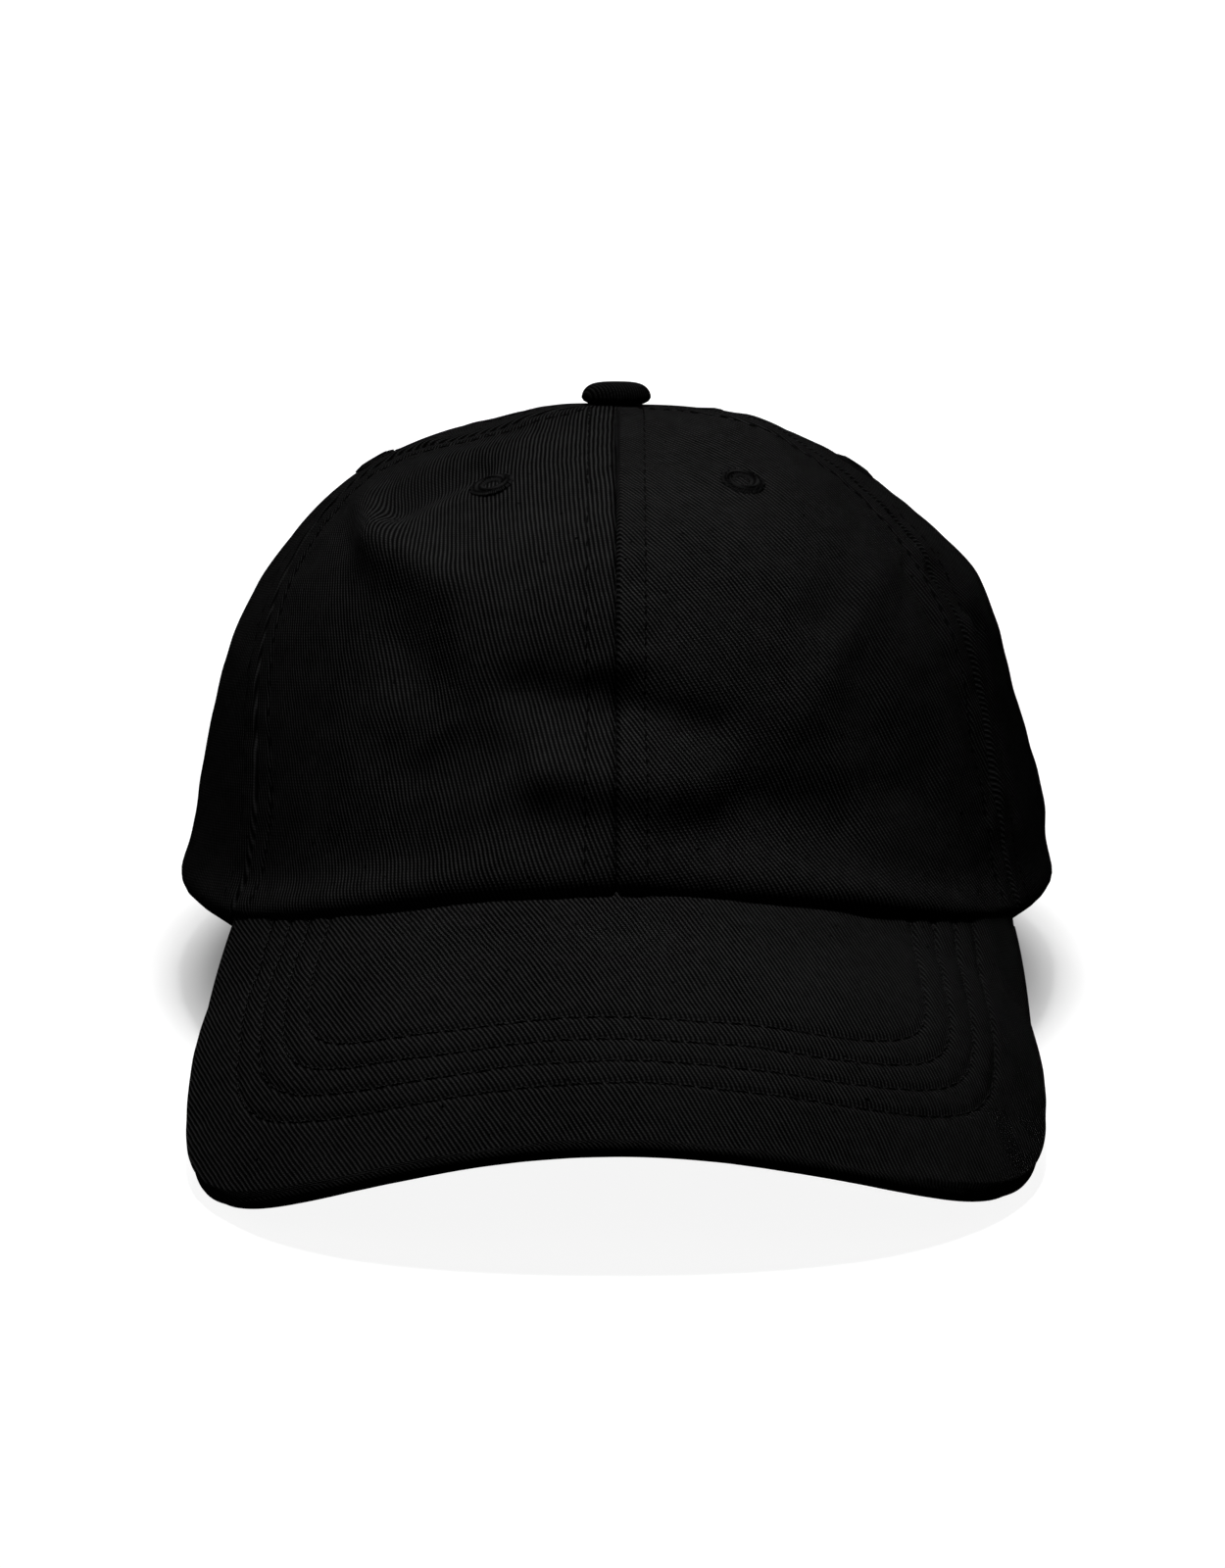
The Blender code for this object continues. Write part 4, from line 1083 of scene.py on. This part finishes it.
def make_visor_under(rows):
    """Under cover of the visor, thinning towards its edge."""
    flat = visor_flat(0.0006, VISOR_UNDER_DEPTH, rows)
    across, along = flat[..., 0], flat[..., 1]
    relief = visor_relief(across, along) * 0.7
    thin = np.minimum(1.0, line_distance(across, along, visor_outline(0.0, 700)) / 0.002)
    upper = visor_point(across, along, VISOR_UNDER_DEPTH)
    lower = visor_point(across, along, 0.0032 + 0.0004 * thin ** 0.5 + relief * thin)
    cloth = cloth_places(across, along, 7.0)
    under = cloth_slab("visor_under_cloth", lower[:, ::-1], upper[:, ::-1], cloth[:, ::-1], TWILL)
    place(under, "black_twill", "visor_under_cover")


def make_visor_stitches():
    """Four rows of stitches on both faces of the visor."""
    threads = Threads(9)
    for number in range(VISOR_ROWS):
        line = visor_row(number)
        relief = visor_relief(line[:, 0], line[:, 1]) + visor_camber(line[:, 1]) - 0.00030
        path = visor_point(line[:, 0], line[:, 1], -relief)
        threads.sew(path, visor_up(line[:, 0]), **VISOR_STITCH)
        path = visor_point(line[:, 0], line[:, 1], VISOR_THICKNESS)
        threads.sew(path, -visor_up(line[:, 0]), **VISOR_STITCH)
    place(threads.make("visor_stitches", VISOR_THREAD), "black_thread")


def make_visor_board():
    """Plastic board inside the visor's covers."""
    flat = visor_flat(0.0030, 0.0016, eased(40, 0.3))
    upper, lower = (visor_point(flat[..., 0], flat[..., 1], depth) for depth in (0.0012, 0.0025))
    board = cloth_slab("visor_board_plastic", upper, lower, np.zeros(upper.shape), board_material())
    place(board, "board_plastic", "visor_board")


def row_grooves_at(across, along):
    """Grooves along the visor's own stitch rows."""
    total = np.zeros(np.shape(across))
    for number in range(VISOR_ROWS):
        gap = line_distance(across, along, visor_row(number, 420))
        total -= ROW_GROOVE_DEPTH * np.exp(-(gap / ROW_GROOVE_WIDTH) ** 2)
    return total


# ---- Back closure ----
STRAP_MIDDLE_DEPTH = STRAP_DEPTH + STRAP_THICKNESS / 2
STRAP_MIDDLE_HEIGHT = (STRAP_LOW + STRAP_HIGH) / 2


def band_point(turn, height, depth):
    """Point at a depth under the smooth crown at a level height, without folds."""
    turn, height, depth = np.broadcast_arrays(turn, height, depth)
    normal = crown_normal(turn, height)
    start = height + depth * normal[..., 2]
    return crown_face(turn, start) - normal * depth[..., None]


STRAP_RADIUS = float(band_point(pi, STRAP_MIDDLE_HEIGHT, STRAP_MIDDLE_DEPTH)[1])


def make_strap():
    """Back strap of folded twill with a stitch row along both edges."""
    turns, heights = np.meshgrid(np.linspace(-STRAP_HALF_ANGLE, STRAP_HALF_ANGLE, 180) + pi,
                                 np.linspace(STRAP_LOW, STRAP_HIGH, 24))
    edge = np.minimum(heights - STRAP_LOW, STRAP_HIGH - heights)
    puff = 0.00008 * np.cos(np.clip((edge - 0.0028) / 0.0012, -pi, pi)) * (edge > 0)
    puff = puff + 0.00004 * waves(np.stack((turns * 0.09, heights, 0 * heights), -1), 51, 8, 0.02, 0.006)
    outer = band_point(turns, heights, STRAP_DEPTH - puff)
    inner = band_point(turns, heights, STRAP_DEPTH + STRAP_THICKNESS)
    cloth = cloth_places(heights, turns * STRAP_RADIUS)
    strap = cloth_slab("back_strap_cloth", outer, inner, cloth, TWILL)
    place(strap, "black_twill", "back_strap", body="strap")
    threads = Threads(13)
    line = np.linspace(-STRAP_HALF_ANGLE + 0.02, STRAP_HALF_ANGLE - 0.02, 300) + pi
    for height in (STRAP_LOW + 0.0022, STRAP_HIGH - 0.0022):
        level = np.full(300, height)
        normals = crown_normal(line, level)
        threads.sew(band_point(line, level, STRAP_DEPTH + THREAD_SINK), normals)
        threads.sew(band_point(line, level, STRAP_DEPTH + STRAP_THICKNESS - THREAD_SINK), -normals)
    place(threads.make("strap_stitches", THREAD), "black_thread", body="strap")


def tab_point(path, height):
    """Point of the tab at (distance from the buckle, depth), measured along the cloth at its height."""
    radius = band_point(pi, height, STRAP_MIDDLE_DEPTH)[..., 1]
    return band_point(pi + BUCKLE_OFFSET / STRAP_RADIUS + path[..., 0] / radius, height, path[..., 1])


def make_tab():
    """Folded tab round the buckle's bar, with a row of stitches across its doubled end."""
    bar_depth = STRAP_MIDDLE_DEPTH - BAR_LIFT - BAR_ALONG ** 2 / (2 * STRAP_RADIUS)
    inner_depth = TAPE_DEPTH + 0.0004
    outer_depth = 2 * bar_depth - inner_depth
    turn_radius = (inner_depth - outer_depth) / 2
    path = [(along, inner_depth) for along in (0.047, 0.020, 0.012, BAR_ALONG)]
    path += [(BAR_ALONG - turn_radius * sin(angle), bar_depth + turn_radius * cos(angle))
             for angle in np.linspace(0.2, pi - 0.2, 14)]
    close_depth = inner_depth - 0.0011
    path += [(BAR_ALONG, outer_depth), (0.0092, outer_depth + 0.0001), (0.0112, outer_depth + 0.0007),
             (0.0132, close_depth - 0.0002), (0.0150, close_depth), (0.0200, close_depth)]
    path = resample(path, 120)
    direction = unit(np.gradient(path, axis=0))
    sideways = np.stack((direction[:, 1], -direction[:, 0]), -1) * 0.0004
    heights = np.linspace(STRAP_LOW + 0.0005, STRAP_HIGH - 0.0005, 22)
    grids = [tab_point(np.broadcast_to(line[:, None], (120, 22, 2)), np.broadcast_to(heights, (120, 22)))
             for line in (path + sideways, path - sideways)]
    cloth = cloth_places(heights, run_lengths(path)[:, None])
    tab = cloth_slab("buckle_tab_cloth", grids[0], grids[1], cloth, TWILL)
    place(tab, "black_twill", "buckle_tab")
    threads = Threads(17)
    for distance in (0.0158, 0.0188):
        column = np.stack((np.full(60, distance), np.full(60, close_depth - 0.0004)), -1)
        level = np.linspace(STRAP_LOW + 0.0020, STRAP_HIGH - 0.0020, 60)
        line = tab_point(column, level)
        normals = crown_normal(pi + (BUCKLE_OFFSET + distance) / STRAP_RADIUS + 0 * level, level)
        threads.sew(line, normals, 0.0018, 0.0004)
    place(threads.make("tab_stitches", THREAD), "black_thread")


def finish_metal():
    """Buckle, lever and pin keep their CAD shape, with softened edges and aged brass."""
    for name in ("buckle_frame", "buckle_lever", "buckle_pin"):
        node = frame["nodes"][name]
        node.data.materials.clear()
        node.data.materials.append(BRASS)
        bevel = node.modifiers.new("rounded_edges", "BEVEL")
        bevel.width = METAL_BEVEL
        bevel.segments = 2
        bevel.limit_method = "ANGLE"


# ---- Camera, light and floor ----
CAMERA_ELEVATION = radians(6.5)
CAMERA_DISTANCE = 1.0
CAMERA_CENTRE = (0.0, 0.0, 0.050)
CAMERA_AIM = (-0.0008, -0.0030, 0.0236)
# The floor does not glow under the cap: the light there would be hidden by the cap's own shadow.
UNLIT_CENTRE = (0.0, 0.034, 0.0)
UNLIT_RADII = (0.080, 0.105)
FLOOR_GLOW = 0.90
LIGHT_AIM = (0.0, 0.0, 0.05)


def make_camera():
    """Camera in front of the cap and a little above the plane of its hem."""
    direction = Vector((0.0, -cos(CAMERA_ELEVATION), sin(CAMERA_ELEVATION)))
    eye = Vector(CAMERA_CENTRE) + direction * CAMERA_DISTANCE
    camera = bpy.data.objects.new("camera", bpy.data.cameras.new("camera"))
    bpy.context.scene.collection.objects.link(camera)
    rotation = (Vector(CAMERA_AIM) - eye).to_track_quat("-Z", "Y").to_matrix().to_4x4()
    camera.matrix_world = RIM @ Matrix.Translation(eye) @ rotation
    camera.data.lens = 107.0
    camera.data.sensor_width = 36.0
    bpy.context.scene.camera = camera


def make_area_light(name, place_at, aim, size, power, spread=180):
    """Square soft light aimed at a point, with the angle in degrees over which it spreads."""
    data = bpy.data.lights.new(name, "AREA")
    data.shape = "SQUARE"
    data.size = size
    data.energy = power
    data.spread = radians(spread)
    light = bpy.data.objects.new(name, data)
    bpy.context.scene.collection.objects.link(light)
    direction = Vector(aim) - Vector(place_at)
    rotation = direction.to_track_quat("-Z", "Y").to_matrix().to_4x4()
    light.matrix_world = Matrix.Translation(place_at) @ rotation


def make_studio():
    """Pale floor and soft studio light."""
    bpy.ops.mesh.primitive_plane_add(size=30.0)
    floor = bpy.context.active_object
    floor.name = "studio_floor"
    nodes = Nodes("floor_paint")
    spot = nodes.add("ShaderNodeTexCoord").outputs["Object"]
    grain = nodes.noise(spot, 8.0, 3.0)
    nodes.link(nodes.mix(grain, (0.30, 0.30, 0.30), (0.32, 0.32, 0.32)), nodes.shader.inputs["Base Color"])
    nodes.shader.inputs["Roughness"].default_value = 0.95
    nodes.shader.inputs["Emission Color"].default_value = (1.0, 1.0, 1.0, 1.0)
    centre = nodes.add("ShaderNodeVectorMath", operation="DISTANCE")
    nodes.link(spot, centre.inputs[0])
    centre.inputs[1].default_value = UNLIT_CENTRE
    glow = nodes.math("MULTIPLY", nodes.ramp(centre.outputs["Value"], *UNLIT_RADII), FLOOR_GLOW)
    nodes.link(glow, nodes.shader.inputs["Emission Strength"])
    floor.data.materials.append(nodes.material)
    floor.visible_diffuse = False
    world = bpy.data.worlds.new("studio")
    bpy.context.scene.world = world
    world.use_nodes = True
    world.node_tree.nodes["Background"].inputs["Color"].default_value = (1.0, 1.0, 1.0, 1.0)
    world.node_tree.nodes["Background"].inputs["Strength"].default_value = 0.95
    world.cycles_visibility.diffuse = False
    make_area_light("key_light", (0.0, -0.045, 1.15), (0.0, -0.045, 0.05), 0.10, 0.105, 15)
    make_area_light("back_light", (-0.05, 1.06, 1.11), LIGHT_AIM, 0.7, 14.0)
    make_area_light("left_light", (-0.75, -0.80, 0.95), LIGHT_AIM, 0.7, 0.75)
    make_area_light("left_rear_fill", (-1.05, 1.05, 0.40), LIGHT_AIM, 0.9, 2.2)
    make_area_light("right_rear_fill", (1.05, 1.05, 0.40), LIGHT_AIM, 0.9, 1.6)
    bpy.context.scene.view_settings.view_transform = "Standard"
    bpy.context.scene.view_settings.look = "None"


def build():
    """Make every piece and the studio."""
    make_camera()
    make_studio()
    for name, first, last in PANELS:
        make_panel(name, first, last)
    make_crown_stitches()
    for number, (name, degrees) in enumerate((("front_eyelet_right", -30), ("front_eyelet_left", 30),
                                              ("side_eyelet_left", 90), ("back_eyelet_left", 150),
                                              ("back_eyelet_right", -150), ("side_eyelet_right", -90))):
        make_eyelet(name, radians(degrees), 60 + number)
    make_side_tapes()
    make_centre_tape()
    make_arch_facing()
    make_sweatband()
    make_label()
    make_button()
    visor_rows = eased(130, 0.3)
    make_visor_top(visor_rows)
    make_visor_under(visor_rows)
    make_visor_stitches()
    make_visor_board()
    make_strap()
    make_tab()
    finish_metal()


build()
